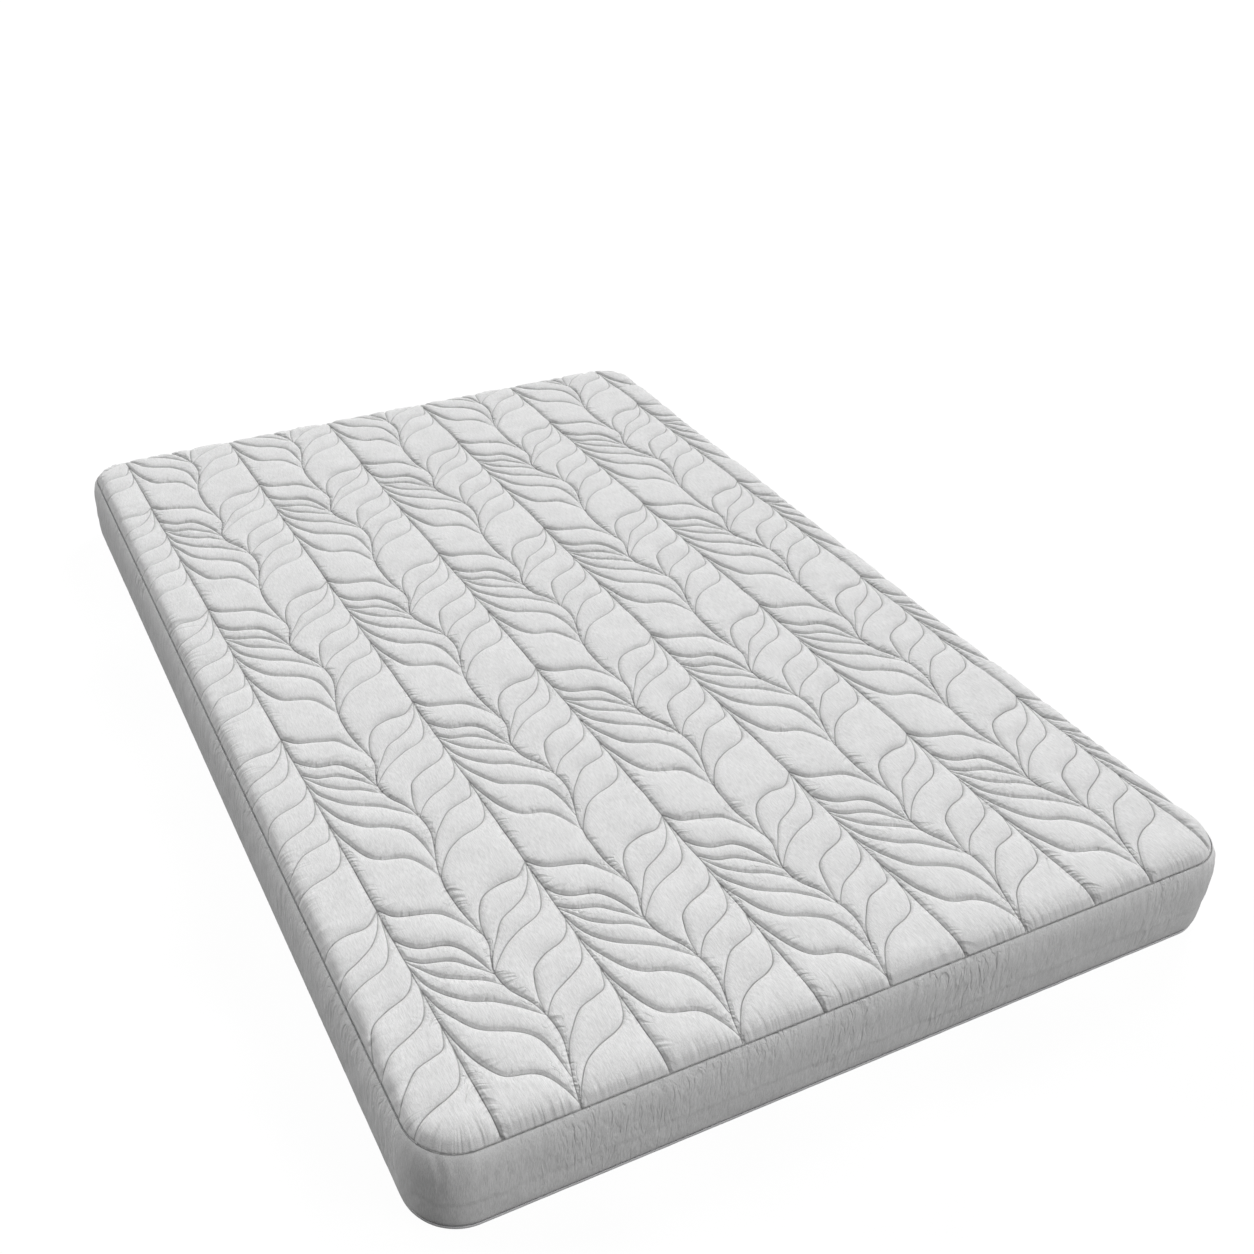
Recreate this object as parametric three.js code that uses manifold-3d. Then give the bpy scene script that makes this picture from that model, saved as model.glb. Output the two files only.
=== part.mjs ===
// Futon mattress with a foam and fibre core inside a zipped, quilted cover.
// Millimetres, +Z up. X runs across the width, Y along the length, and the underside lies on z = 0.
// The mattress folds along its long centre line, so each layer is a seat half (-X) and a back half (+X).

import * as THREE from 'three';
import Module from 'manifold-3d';
import { mergeVertices } from 'three/addons/utils/BufferGeometryUtils.js';

// ---------------------------------------------------------------- overall sizes
const WIDTH = 1372;
const LENGTH = 2032;
const SEAM_HEIGHT = 145;
const EDGE_RISE = 12;
const EDGE_ROLL = 22;
const MIDDLE_RISE = 2.7;
const MIDDLE_RUN = 250;
const CORNER_RADIUS = 68;
const INNER_CORNER_RADIUS = 10;
const CLEARANCE = 0.3;

// ---------------------------------------------------------------- cover
const FACE_THICKNESS = 1.2;
const BACKING_THICKNESS = 0.6;
const BORDER_THICKNESS = 1.2;
const BORDER_PADDING = 7;
const BORDER_FOOT_INSET = 3;
const FOOT_CURVE_HEIGHT = 65;
const BORDER_SEAM_INSET = 12;
const SHOULDER_HEIGHT = 45;
const BASE_THICKNESS = 1.2;
const BASE_INSET = 3.5;
const BINDING_THICKNESS = 2;
const BINDING_DROP = 17;

// ---------------------------------------------------------------- filling, from the bottom up
const FILLING_EASE = 1;
const SOCK_THICKNESS = 0.8;
const BASE_BATTING = 14;
const COMFORT_FOAM = 25;
const TOP_BATTING = 12;
const QUILT_EDGE_THICKNESS = 10.2;

// ---------------------------------------------------------------- zip
const ZIP_SLIT = 1.4;
const TAPE_THICKNESS = 0.7;
const UPPER_TAPE_WIDTH = 9.8;
const COIL_WIDTH = 2.2;
const COIL_DEPTH = 1.9;
const ZIP_END_INSET = 95;
const ZIP_END_GAP = 9;
const STOP_LENGTH = 2.4;
const SLIDER_LENGTH = 12;
const SLIDER_PLATE = 1.2;
const SLIDER_RUNNING_GAP = 0.4;
const FLANGE_WIDTH = 1;
const MOUTH_FLARE = 0.4;
const NECK_LENGTH = 2.6;
const NECK_TAPER = 0.8;
const NECK_SETBACK = 0.4;
const NECK_EDGE = 0.2;
const BRIDGE_SPAN = 8.8;
const BRIDGE_WIDTH = 2.2;
const BRIDGE_BAR = 0.9;
const BRIDGE_OPENING = 1.5;
const TAB_LENGTH = 25;
const TAB_WIDTH = 6;
const TAB_WAIST_WIDTH = 4.6;
const TAB_CORNER_CUT = 1.4;
const TAB_THICKNESS = 1;

// ---------------------------------------------------------------- levels worked out from the sizes
// The layers are stacked up from the base and down from the top seam, and the foam core takes
// the height that they leave.
const seamTop = SEAM_HEIGHT + CLEARANCE;
const waddingBottom = SEAM_HEIGHT - QUILT_EDGE_THICKNESS;
const backingBottom = waddingBottom - CLEARANCE - BACKING_THICKNESS;
const sockTop = backingBottom - CLEARANCE;
const topBattingBottom = sockTop - SOCK_THICKNESS - CLEARANCE - TOP_BATTING;
const comfortBottom = topBattingBottom - CLEARANCE - COMFORT_FOAM;
const sockBottom = BASE_THICKNESS + CLEARANCE;
const baseBattingBottom = sockBottom + SOCK_THICKNESS + CLEARANCE;
const coreBottom = baseBattingBottom + BASE_BATTING + CLEARANCE;
const coreFoam = comfortBottom - CLEARANCE - coreBottom;

// The slider just clears the base cloth below it and the foot of the border above it.
const stopGap = ZIP_SLIT / 2;
const channelHalf = stopGap + COIL_WIDTH + SLIDER_RUNNING_GAP;
const sliderHalf = channelHalf + FLANGE_WIDTH;
const mouthHalf = sliderHalf + MOUTH_FLARE;
const zipHeight = BASE_THICKNESS + 2 * CLEARANCE + mouthHalf;
const borderFoot = zipHeight + mouthHalf + CLEARANCE;
const upperTapeFoot = zipHeight + stopGap;
const lowerTapeTop = zipHeight - stopGap;
const lowerTapeFoot = BASE_THICKNESS + CLEARANCE;

// ---------------------------------------------------------------- insets worked out from the sizes
const liningDepth = BORDER_THICKNESS + CLEARANCE;
const tapeInset = BORDER_FOOT_INSET + liningDepth;
const waddingInset = BORDER_SEAM_INSET + liningDepth + BINDING_THICKNESS + CLEARANCE;
const sockDepth = liningDepth + BORDER_PADDING + FILLING_EASE;
const fillingDepth = sockDepth + SOCK_THICKNESS + CLEARANCE;
const coilInset = tapeInset + TAPE_THICKNESS + CLEARANCE;

// ---------------------------------------------------------------- solids
const wasm = await Module();
wasm.setup();

const solidOf = (geometry) => {
  const bare = geometry.clone();
  for (const name of Object.keys(bare.attributes)) {
    if (name !== 'position') {
      bare.deleteAttribute(name);
    }
  }
  const merged = mergeVertices(bare, 1e-4);
  const vertProperties = new Float32Array(merged.attributes.position.array);
  const triVerts = new Uint32Array(merged.index.array);
  return new wasm.Manifold(new wasm.Mesh({ numProp: 3, vertProperties, triVerts }));
};

const geometryOf = (solid) => {
  const mesh = solid.getMesh();
  const geometry = new THREE.BufferGeometry();
  geometry.setAttribute('position', new THREE.BufferAttribute(new Float32Array(mesh.vertProperties), 3));
  geometry.setIndex(new THREE.BufferAttribute(new Uint32Array(mesh.triVerts), 1));
  geometry.computeVertexNormals();
  return geometry;
};

const block = (x0, x1, y0, y1, z0, z1) => {
  const box = new THREE.BoxGeometry(x1 - x0, y1 - y0, z1 - z0);
  box.translate((x0 + x1) / 2, (y0 + y1) / 2, (z0 + z1) / 2);
  return solidOf(box);
};

// A rounded rectangle at a distance inside the mattress's outer plan.
const CORNER_STEPS = 8;
const outline = (inset, z) => {
  const radius = Math.max(CORNER_RADIUS - inset, INNER_CORNER_RADIUS);
  const cornerX = WIDTH / 2 - inset - radius;
  const cornerY = LENGTH / 2 - inset - radius;
  const points = [];
  const corners = [[1, 1], [-1, 1], [-1, -1], [1, -1]];
  corners.forEach(([signX, signY], quarter) => {
    for (let step = 0; step <= CORNER_STEPS; step += 1) {
      const angle = (quarter + step / CORNER_STEPS) * Math.PI / 2;
      const x = signX * cornerX + radius * Math.cos(angle);
      const y = signY * cornerY + radius * Math.sin(angle);
      points.push(new THREE.Vector3(x, y, z));
    }
  });
  return points;
};

// Lofts through outlines given as [inset, z] pairs. A closed profile goes round the
// mattress as a band; an open one is capped at both ends and makes a slab or a shell.
const loft = (profile, closed) => {
  const rings = profile.map(([inset, z]) => outline(inset, z));
  const count = rings[0].length;
  const positions = rings.flat().flatMap((point) => [point.x, point.y, point.z]);
  const index = [];
  const bands = closed ? rings.length : rings.length - 1;
  for (let ring = 0; ring < bands; ring += 1) {
    const here = ring * count;
    const next = ((ring + 1) % rings.length) * count;
    for (let point = 0; point < count; point += 1) {
      const after = (point + 1) % count;
      index.push(here + point, here + after, next + after);
      index.push(here + point, next + after, next + point);
    }
  }
  if (!closed) {
    const flat = (ring) => ring.map((point) => new THREE.Vector2(point.x, point.y));
    const last = (rings.length - 1) * count;
    for (const [a, b, c] of THREE.ShapeUtils.triangulateShape(flat(rings[0]), [])) {
      index.push(c, b, a);
    }
    for (const [a, b, c] of THREE.ShapeUtils.triangulateShape(flat(rings.at(-1)), [])) {
      index.push(last + a, last + b, last + c);
    }
  }
  const geometry = new THREE.BufferGeometry();
  geometry.setAttribute('position', new THREE.Float32BufferAttribute(positions, 3));
  geometry.setIndex(index);
  return solidOf(geometry);
};

const slab = (inset, bottom, thickness) => loft([[inset, bottom], [inset, bottom + thickness]], false);

const band = (inset, thickness, bottom, height) => loft([
  [inset, bottom],
  [inset, bottom + height],
  [inset + thickness, bottom + height],
  [inset + thickness, bottom],
], true);

// The crowned top: it rolls up quickly from the seam, then rises gently to the middle.
const crownHeight = (inset) => {
  const run = Math.max(inset - BORDER_SEAM_INSET, 0);
  const roll = 1 - Math.exp(-run / EDGE_ROLL);
  const swell = 1 - (1 - Math.min(run / MIDDLE_RUN, 1)) ** 3;
  return seamTop + EDGE_RISE * roll + MIDDLE_RISE * swell;
};
const CROWN_STEPS = [0, 0.01, 0.025, 0.05, 0.09, 0.18, 0.4, 1];
const crownStart = BORDER_SEAM_INSET + 2 * FACE_THICKNESS;
const crownEnd = BORDER_SEAM_INSET + MIDDLE_RUN;
const crownInsets = CROWN_STEPS.map((share) => THREE.MathUtils.lerp(crownStart, crownEnd, share));

const faceFabric = () => {
  const outer = crownInsets.map((inset) => [inset, crownHeight(inset)]);
  const inner = crownInsets.map((inset) => [inset, crownHeight(inset) - FACE_THICKNESS]);
  const rim = [[BORDER_SEAM_INSET + FACE_THICKNESS, seamTop], [BORDER_SEAM_INSET, seamTop]];
  return loft([...inner.reverse(), ...rim, ...outer], false);
};

const quiltWadding = () => {
  const drop = FACE_THICKNESS + CLEARANCE;
  const insets = crownInsets.filter((inset) => inset > waddingInset);
  const top = [waddingInset, ...insets].map((inset) => [inset, crownHeight(inset) - drop]);
  return loft([[waddingInset, waddingBottom], ...top], false);
};

// The border stands in a little at its foot, runs upright, and rolls in over a round shoulder to
// the top seam. The filling fills it out, so every layer of both bends at the same heights and all
// of them stay parallel.
const CURVE_STEPS = [1, 0.7, 0.45, 0.2, 0];
const borderStations = [
  ...CURVE_STEPS.map((share) => ({
    z: borderFoot + (1 - share) * FOOT_CURVE_HEIGHT,
    inset: BORDER_FOOT_INSET * share ** 2,
  })),
  ...CURVE_STEPS.toReversed().map((share) => ({
    z: SEAM_HEIGHT - (1 - share) * SHOULDER_HEIGHT,
    inset: BORDER_SEAM_INSET * share ** 2,
  })),
];
const borderInset = (z) => {
  const above = Math.max(borderStations.findIndex((station) => station.z >= z), 1);
  const low = borderStations[above - 1];
  const high = borderStations[above];
  return THREE.MathUtils.mapLinear(z, low.z, high.z, low.inset, high.inset);
};
const borderProfile = (depth, bottom, top) => {
  const between = borderStations.map((station) => station.z).filter((z) => z > bottom && z < top);
  return [bottom, ...between, top].map((z) => [borderInset(z) + depth, z]);
};
const borderWall = (depth, thickness, bottom, top) => loft([
  ...borderProfile(depth, bottom, top),
  ...borderProfile(depth + thickness, bottom, top).reverse(),
], true);
const fillingLayer = (bottom, thickness) => (
  loft(borderProfile(fillingDepth, bottom, bottom + thickness), false)
);

const sock = () => {
  const outer = loft(borderProfile(sockDepth, sockBottom, sockTop), false);
  const hollowBottom = sockBottom + SOCK_THICKNESS;
  const hollowTop = sockTop - SOCK_THICKNESS;
  return outer.subtract(loft(borderProfile(sockDepth + SOCK_THICKNESS, hollowBottom, hollowTop), false));
};

// ---------------------------------------------------------------- the two halves
const FAR = WIDTH + LENGTH;
const halfSpaces = {
  seat: block(-FAR, -CLEARANCE, -FAR, FAR, -FAR, FAR),
  back: block(CLEARANCE, FAR, -FAR, FAR, -FAR, FAR),
};

const part = new THREE.Group();
const halves = { seat: new THREE.Group(), back: new THREE.Group() };
part.add(halves.seat, halves.back);

const cloth = (color, roughness = 0.95) => () => (
  new THREE.MeshStandardMaterial({ color, roughness, metalness: 0 })
);
const paleGrey = cloth(0xdcdcdc);
const borderGrey = cloth(0xc4c4c4);
const baseGrey = cloth(0xa8a8a8);
const fibreWhite = cloth(0xf4f4f2);
const foamCream = cloth(0xf0e8cf, 0.9);
const foamBlue = cloth(0xcfdbe6, 0.9);
const tapeGrey = cloth(0xb4b4b4, 0.8);
const coilGrey = cloth(0x9a9a9a, 0.5);
const zinc = () => new THREE.MeshStandardMaterial({ color: 0xb9bbbd, roughness: 0.35, metalness: 0.9 });

const addMesh = (parent, name, solid, material) => {
  const mesh = new THREE.Mesh(geometryOf(solid), material());
  mesh.name = name;
  parent.add(mesh);
};

const addHalves = (name, solid, material) => {
  for (const [side, group] of Object.entries(halves)) {
    addMesh(group, `${name}_${side}`, solid.intersect(halfSpaces[side]), material);
  }
};

// ---------------------------------------------------------------- cover
const borderPaddingBottom = upperTapeFoot + UPPER_TAPE_WIDTH + CLEARANCE;
const bindingBottom = SEAM_HEIGHT - BINDING_DROP;
const borderPaddingTop = bindingBottom - CLEARANCE;
const bindingTop = SEAM_HEIGHT - CLEARANCE;
const borderPadding = borderWall(liningDepth, BORDER_PADDING, borderPaddingBottom, borderPaddingTop);
addHalves('face_fabric', faceFabric(), paleGrey);
addHalves('quilt_wadding', quiltWadding(), fibreWhite);
addHalves('quilt_backing', slab(waddingInset, backingBottom, BACKING_THICKNESS), fibreWhite);
addHalves('border_fabric', borderWall(0, BORDER_THICKNESS, borderFoot, SEAM_HEIGHT), borderGrey);
addHalves('border_padding', borderPadding, fibreWhite);
addHalves('seam_binding', borderWall(liningDepth, BINDING_THICKNESS, bindingBottom, bindingTop), borderGrey);
addHalves('base_cloth', slab(BASE_INSET, 0, BASE_THICKNESS), baseGrey);

// ---------------------------------------------------------------- filling
addHalves('fire_sock', sock(), fibreWhite);
addHalves('base_batting', fillingLayer(baseBattingBottom, BASE_BATTING), fibreWhite);
addHalves('core_foam', fillingLayer(coreBottom, coreFoam), foamCream);
addHalves('comfort_foam', fillingLayer(comfortBottom, COMFORT_FOAM), foamBlue);
addHalves('top_batting', fillingLayer(topBattingBottom, TOP_BATTING), fibreWhite);

// ---------------------------------------------------------------- zip round the foot of the border
const zipEnd = LENGTH / 2 - ZIP_END_INSET;
const beforeBreak = block(0, FAR, -FAR, zipEnd, -FAR, FAR);
const afterBreak = block(0, FAR, zipEnd + ZIP_END_GAP, FAR, -FAR, FAR);
const upperCoil = band(coilInset, COIL_DEPTH, upperTapeFoot, COIL_WIDTH);
const lowerCoil = band(coilInset, COIL_DEPTH, lowerTapeTop - COIL_WIDTH, COIL_WIDTH);
const upperTape = band(tapeInset, TAPE_THICKNESS, upperTapeFoot, UPPER_TAPE_WIDTH);
const lowerTape = band(tapeInset, TAPE_THICKNESS, lowerTapeFoot, lowerTapeTop - lowerTapeFoot);
addHalves('upper_zip_tape', upperTape, tapeGrey);
addHalves('lower_zip_tape', lowerTape, tapeGrey);
for (const [name, coil] of [['upper_zip_coil', upperCoil], ['lower_zip_coil', lowerCoil]]) {
  const backCoil = coil.intersect(halfSpaces.back);
  addMesh(halves.seat, `${name}_seat`, coil.intersect(halfSpaces.seat), coilGrey);
  addMesh(halves.back, `${name}_back`, backCoil.intersect(beforeBreak), coilGrey);
  addMesh(halves.back, `${name}_start`, backCoil.intersect(afterBreak), coilGrey);
}

// The hardware stands on the +X side. Its own frame has +X outwards from the tape's outer
// face, +Y along the zip towards its closed end and z = 0 on the slit.
const hardware = new THREE.Group();
hardware.position.set(WIDTH / 2 - tapeInset, zipEnd, zipHeight);
halves.back.add(hardware);

const coilFace = -(TAPE_THICKNESS + CLEARANCE);
const topStop = (z0, z1) => (
  block(coilFace - COIL_DEPTH, coilFace, CLEARANCE, CLEARANCE + STOP_LENGTH, z0, z1)
);
addMesh(hardware, 'zip_top_stop_upper', topStop(stopGap, stopGap + COIL_WIDTH), zinc);
addMesh(hardware, 'zip_top_stop_lower', topStop(-stopGap - COIL_WIDTH, -stopGap), zinc);
const bottomStop = block(
  coilFace - COIL_DEPTH,
  coilFace,
  ZIP_END_GAP - CLEARANCE - STOP_LENGTH,
  ZIP_END_GAP - CLEARANCE,
  -stopGap - COIL_WIDTH,
  stopGap + COIL_WIDTH,
);
addMesh(hardware, 'zip_bottom_stop', bottomStop, zinc);

// A flat plate in the plane of the tape, from a half outline of [along, half width] pairs.
const plate = (halfOutline, x, thickness) => {
  const rightSide = halfOutline.map(([along, half]) => new THREE.Vector2(along, half));
  const leftSide = halfOutline.map(([along, half]) => new THREE.Vector2(along, -half)).reverse();
  const shape = new THREE.Shape([...rightSide, ...leftSide]);
  const geometry = new THREE.ExtrudeGeometry(shape, { depth: thickness, bevelEnabled: false });
  const turn = new THREE.Matrix4().makeBasis(
    new THREE.Vector3(0, 1, 0),
    new THREE.Vector3(0, 0, 1),
    new THREE.Vector3(1, 0, 0),
  );
  geometry.applyMatrix4(turn);
  geometry.translate(x, 0, 0);
  return solidOf(geometry);
};

// Slider: two shield-shaped plates joined by the neck that runs in the slit between its two
// mouths, with flanges that hold the coils in its channel, and a bridge for the pull tab.
const sliderNose = SLIDER_LENGTH / 2;
const cornerCut = MOUTH_FLARE + FLANGE_WIDTH;
const sliderOutline = [
  [-sliderNose, sliderHalf - FLANGE_WIDTH],
  [-sliderNose + FLANGE_WIDTH, sliderHalf],
  [-FLANGE_WIDTH, sliderHalf],
  [cornerCut, mouthHalf],
  [sliderNose - cornerCut, mouthHalf],
  [sliderNose - cornerCut / 3, mouthHalf - cornerCut / 3],
  [sliderNose, mouthHalf - cornerCut],
];
const outerPlateX = SLIDER_RUNNING_GAP;
const innerPlateTop = coilFace - COIL_DEPTH - SLIDER_RUNNING_GAP;
const outerPlate = plate(sliderOutline, outerPlateX, SLIDER_PLATE);
const innerPlate = plate(sliderOutline, innerPlateTop - SLIDER_PLATE, SLIDER_PLATE);
const neckHalf = stopGap - CLEARANCE;
const neckEnd = sliderNose - NECK_SETBACK;
const neckOutline = [
  [neckEnd - NECK_LENGTH, NECK_EDGE / 2],
  [neckEnd - NECK_LENGTH + NECK_TAPER, neckHalf],
  [neckEnd - NECK_TAPER, neckHalf],
  [neckEnd, NECK_EDGE / 2],
];
const neck = plate(neckOutline, innerPlateTop - SLIDER_PLATE / 2, outerPlateX - innerPlateTop + SLIDER_PLATE);
const flangeTop = -TAPE_THICKNESS - SLIDER_RUNNING_GAP;
const flange = (side) => {
  const inner = side * channelHalf;
  const outer = side * sliderHalf;
  const bottom = innerPlateTop - SLIDER_PLATE / 2;
  const tail = -sliderNose + FLANGE_WIDTH;
  return block(bottom, flangeTop, tail, cornerCut, Math.min(inner, outer), Math.max(inner, outer));
};
const bridgeFoot = outerPlateX + SLIDER_PLATE;
const bridgeTop = bridgeFoot + BRIDGE_OPENING + BRIDGE_BAR;
const bridgeHalf = BRIDGE_SPAN / 2;
const bridgeBlock = block(
  bridgeFoot - SLIDER_PLATE / 2,
  bridgeTop,
  -bridgeHalf,
  bridgeHalf,
  -BRIDGE_WIDTH / 2,
  BRIDGE_WIDTH / 2,
);
const bridgeWindow = block(
  bridgeFoot,
  bridgeFoot + BRIDGE_OPENING,
  -bridgeHalf + BRIDGE_BAR,
  bridgeHalf - BRIDGE_BAR,
  -BRIDGE_WIDTH,
  BRIDGE_WIDTH,
);
const bridge = bridgeBlock.subtract(bridgeWindow);
const slider = outerPlate.add(innerPlate).add(neck).add(flange(1)).add(flange(-1)).add(bridge);

const sliderGroup = new THREE.Group();
sliderGroup.position.set(0, -sliderNose - CLEARANCE, 0);
hardware.add(sliderGroup);
addMesh(sliderGroup, 'zip_slider', slider, zinc);

// Pull tab: a long plate whose window passes round the bridge, turning on a round bar under it.
const pivotX = bridgeFoot + BRIDGE_OPENING / 2;
const windowHalf = BRIDGE_WIDTH / 2 + CLEARANCE;
const windowEnd = bridgeHalf + 2 * CLEARANCE;
const tabOutline = [
  [-TAB_LENGTH, TAB_WIDTH / 2 - TAB_CORNER_CUT],
  [-TAB_LENGTH + TAB_CORNER_CUT, TAB_WIDTH / 2],
  [-windowEnd - TAB_WIDTH, TAB_WAIST_WIDTH / 2],
  [-windowEnd, TAB_WIDTH / 2],
  [0, TAB_WIDTH / 2],
];
const tabPlate = plate(tabOutline, -TAB_THICKNESS / 2, TAB_THICKNESS);
const tabWindow = block(-TAB_THICKNESS, TAB_THICKNESS, -windowEnd, TAB_THICKNESS, -windowHalf, windowHalf);
const tabBar = new THREE.CylinderGeometry(TAB_THICKNESS / 2, TAB_THICKNESS / 2, TAB_WIDTH, 16);
tabBar.rotateX(Math.PI / 2);
const tab = tabPlate.subtract(tabWindow).add(solidOf(tabBar));
const tabGroup = new THREE.Group();
tabGroup.position.set(pivotX, 0, 0);
sliderGroup.add(tabGroup);
addMesh(tabGroup, 'zip_pull_tab', tab, zinc);

export default part;
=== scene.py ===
# %% [markdown]
# # A quilted futon mattress
# The mattress is a foam and fibre core in a zipped cover. The cover is what one sees: a top panel
# quilted in columns of leaves, a plain border, and a zip round the foot. The frame brings every
# piece at its real size; this file dresses the soft ones. Each layer is one piece from side to side
# and bends at the fold along the long centre line.

# %% Load the frame
import math
import random

import bpy
import numpy as np
from mathutils import Euler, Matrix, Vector
from mathutils.geometry import delaunay_2d_cdt
from mathutils.kdtree import KDTree


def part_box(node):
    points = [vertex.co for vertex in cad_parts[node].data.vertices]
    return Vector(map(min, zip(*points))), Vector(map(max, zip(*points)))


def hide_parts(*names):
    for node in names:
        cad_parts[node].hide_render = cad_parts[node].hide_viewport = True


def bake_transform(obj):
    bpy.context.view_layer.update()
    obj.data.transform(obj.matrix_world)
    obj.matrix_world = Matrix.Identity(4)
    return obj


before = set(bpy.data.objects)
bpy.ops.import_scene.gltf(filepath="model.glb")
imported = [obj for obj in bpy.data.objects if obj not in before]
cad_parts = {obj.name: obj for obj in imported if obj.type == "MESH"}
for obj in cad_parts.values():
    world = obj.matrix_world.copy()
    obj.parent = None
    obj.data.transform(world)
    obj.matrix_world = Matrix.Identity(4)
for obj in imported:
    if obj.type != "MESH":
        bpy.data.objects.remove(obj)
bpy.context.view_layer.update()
bpy.ops.object.select_all(action="DESELECT")
print("nodes in the frame:", len(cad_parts))

# %% [markdown]
# ## Sizes
# Every place comes from the frame: the top seam from the face fabric, the foot from the border, the
# band of the zip from its tapes. Both halves of a layer together give its whole width. The finished
# cover is rounder at the corners than the plain layers, and its top seam lies a little further out.

# %% Sizes taken from the frame
MM = 0.001
HALVES = ("seat", "back")


def layer_box(layer):
    """Lowest and highest corner of a layer, both halves together."""
    boxes = [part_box(f"{layer}_{half}") for half in HALVES]
    low = Vector([min(b[0][k] for b in boxes) for k in range(3)])
    high = Vector([max(b[1][k] for b in boxes) for k in range(3)])
    return low, high


SEAM_MOVED_OUT = 2.5 * MM
face_low, face_high = layer_box("face_fabric")
border_low, border_high = layer_box("border_fabric")
half_width, half_length = border_high.x, border_high.y
plan_radius = 84 * MM
seam_inset = half_width - face_high.x - SEAM_MOVED_OUT
seam_z = face_low.z
crown_z = face_high.z
foot_z = border_low.z

# %% [markdown]
# ## Camera
# The camera stands in front of the near left corner, at about the head height of someone standing,
# and looks down over the whole quilted top.

# %% Camera
CAMERA_PLACE = (-1.0567, -2.0702, 1.7050)
CAMERA_DOWN = math.radians(32)
CAMERA_TURN = math.radians(24.785)
LENS_LENGTH = 41.906
LENS_SHIFT = (0.0969, -0.0406)
camera_data = bpy.data.cameras.new("camera")
camera = bpy.data.objects.new("camera", camera_data)
bpy.context.scene.collection.objects.link(camera)
camera.location = CAMERA_PLACE
camera.rotation_euler = Euler((math.pi / 2 - CAMERA_DOWN, 0, -CAMERA_TURN), "XYZ")
camera_data.sensor_width = 36
camera_data.lens = LENS_LENGTH
camera_data.shift_x, camera_data.shift_y = LENS_SHIFT
bpy.context.scene.camera = camera
bpy.context.scene.view_settings.view_transform = "Standard"

# %% [markdown]
# ## The rounded plan
# Every layer has the same plan: a rectangle with round corners, a little smaller for each layer
# further in. A slab fills it with a square grid whose outer rows follow the edge: inside each
# corner square, every square ring is bent into a quarter circle.

# %% A grid that follows the rounded plan
def edge_lines(half, fine, step):
    """Grid positions from -half to half: `fine` distances from the edge first, then even steps."""
    start = fine[-1]
    count = max(2, round(2 * (half - start) / step))
    middle = np.linspace(-half + start, half - start, count + 1)
    near = np.array(fine[:-1])
    return np.concatenate([-half + near, middle, (half - near)[::-1]])


def bend_corners(x, y, half_x, half_y, radius):
    """Turns the square corners of a rectangle into round ones, ring by ring."""
    u = np.maximum(np.abs(x) - (half_x - radius), 0) / radius
    v = np.maximum(np.abs(y) - (half_y - radius), 0) / radius
    ring = np.maximum(u, v)
    inner = np.minimum(u, v)
    corner = (u > 0) & (v > 0)
    turn = np.where(corner, inner / np.maximum(ring, 1e-9), 0) * math.pi / 4
    turn = np.where(u >= v, turn, math.pi / 2 - turn)
    bent_x = np.sign(x) * (half_x - radius + ring * radius * np.cos(turn))
    bent_y = np.sign(y) * (half_y - radius + ring * radius * np.sin(turn))
    return np.where(corner, bent_x, x), np.where(corner, bent_y, y)


def depth_inside(x, y, half_x, half_y, radius):
    """How far a point lies inside the rounded plan, and the outward direction of its nearest edge."""
    qx = np.abs(x) - (half_x - radius)
    qy = np.abs(y) - (half_y - radius)
    outside = np.hypot(np.maximum(qx, 0), np.maximum(qy, 0))
    depth = radius - outside - np.minimum(np.maximum(qx, qy), 0)
    in_corner = (qx > 0) & (qy > 0)
    nx = np.where(in_corner, qx / np.maximum(outside, 1e-9), (qx >= qy).astype(float))
    ny = np.where(in_corner, qy / np.maximum(outside, 1e-9), (qx < qy).astype(float))
    return depth, nx * np.sign(x), ny * np.sign(y)


def ring_at(along):
    """Place on the outer plan and outward direction, at distances along it, anticlockwise."""
    quarter = plan_radius * math.pi / 2
    starts = np.cumsum([0] + [quarter, 2 * flat_x, quarter, 2 * flat_y] * 2)
    past = np.mod(along, starts[-1])
    leg = np.clip(np.searchsorted(starts, past, side="right") - 1, 0, 7)
    corner, straight = leg // 2, leg % 2 == 1
    past = past - starts[leg]
    turn = corner * math.pi / 2 + np.where(straight, math.pi / 2, past / plan_radius)
    slide = np.where(straight, past, 0)
    nx, ny = np.cos(turn), np.sin(turn)
    x = flat_x * np.array([1, -1, -1, 1])[corner] + plan_radius * nx - slide * ny
    y = flat_y * np.array([1, 1, -1, -1])[corner] + plan_radius * ny + slide * nx
    return x, y, nx, ny


def along_edge(x, y, nx, ny):
    """The distance along the outer plan of the edge point nearest to each point."""
    turn = np.mod(np.arctan2(ny, nx) + 1e-9, 2 * math.pi)
    in_x, in_y = np.clip(x, -flat_x, flat_x), np.clip(y, -flat_y, flat_y)
    side = np.floor(turn / (math.pi / 2) + 1e-6).astype(int)
    across = np.choose(side, [0 * x, flat_x - in_x, 0 * x + 2 * flat_x, 3 * flat_x + in_x])
    down = np.choose(side, [in_y - flat_y, 0 * x, flat_y - in_y, 0 * x + 2 * flat_y])
    return turn * plan_radius + across + down


flat_x, flat_y = half_width - plan_radius, half_length - plan_radius
edge_loop = 4 * (flat_x + flat_y) + 2 * math.pi * plan_radius
print("round the edge:", round(edge_loop, 3))


# %% [markdown]
# ## The quilting lines
# A long-arm machine sews the same repeat over the whole panel: a straight spine, a wandering valley
# line between two spines, seven leaf lines that fall from the spine to the valley, and seven that
# climb from the valley to the next spine. The last leaf of a repeat is left wide and plain. The
# points below count steps of REPEAT_SCALE, which is a little under a millimetre: across from the
# spine, and forward from the start of the repeat.

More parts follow.
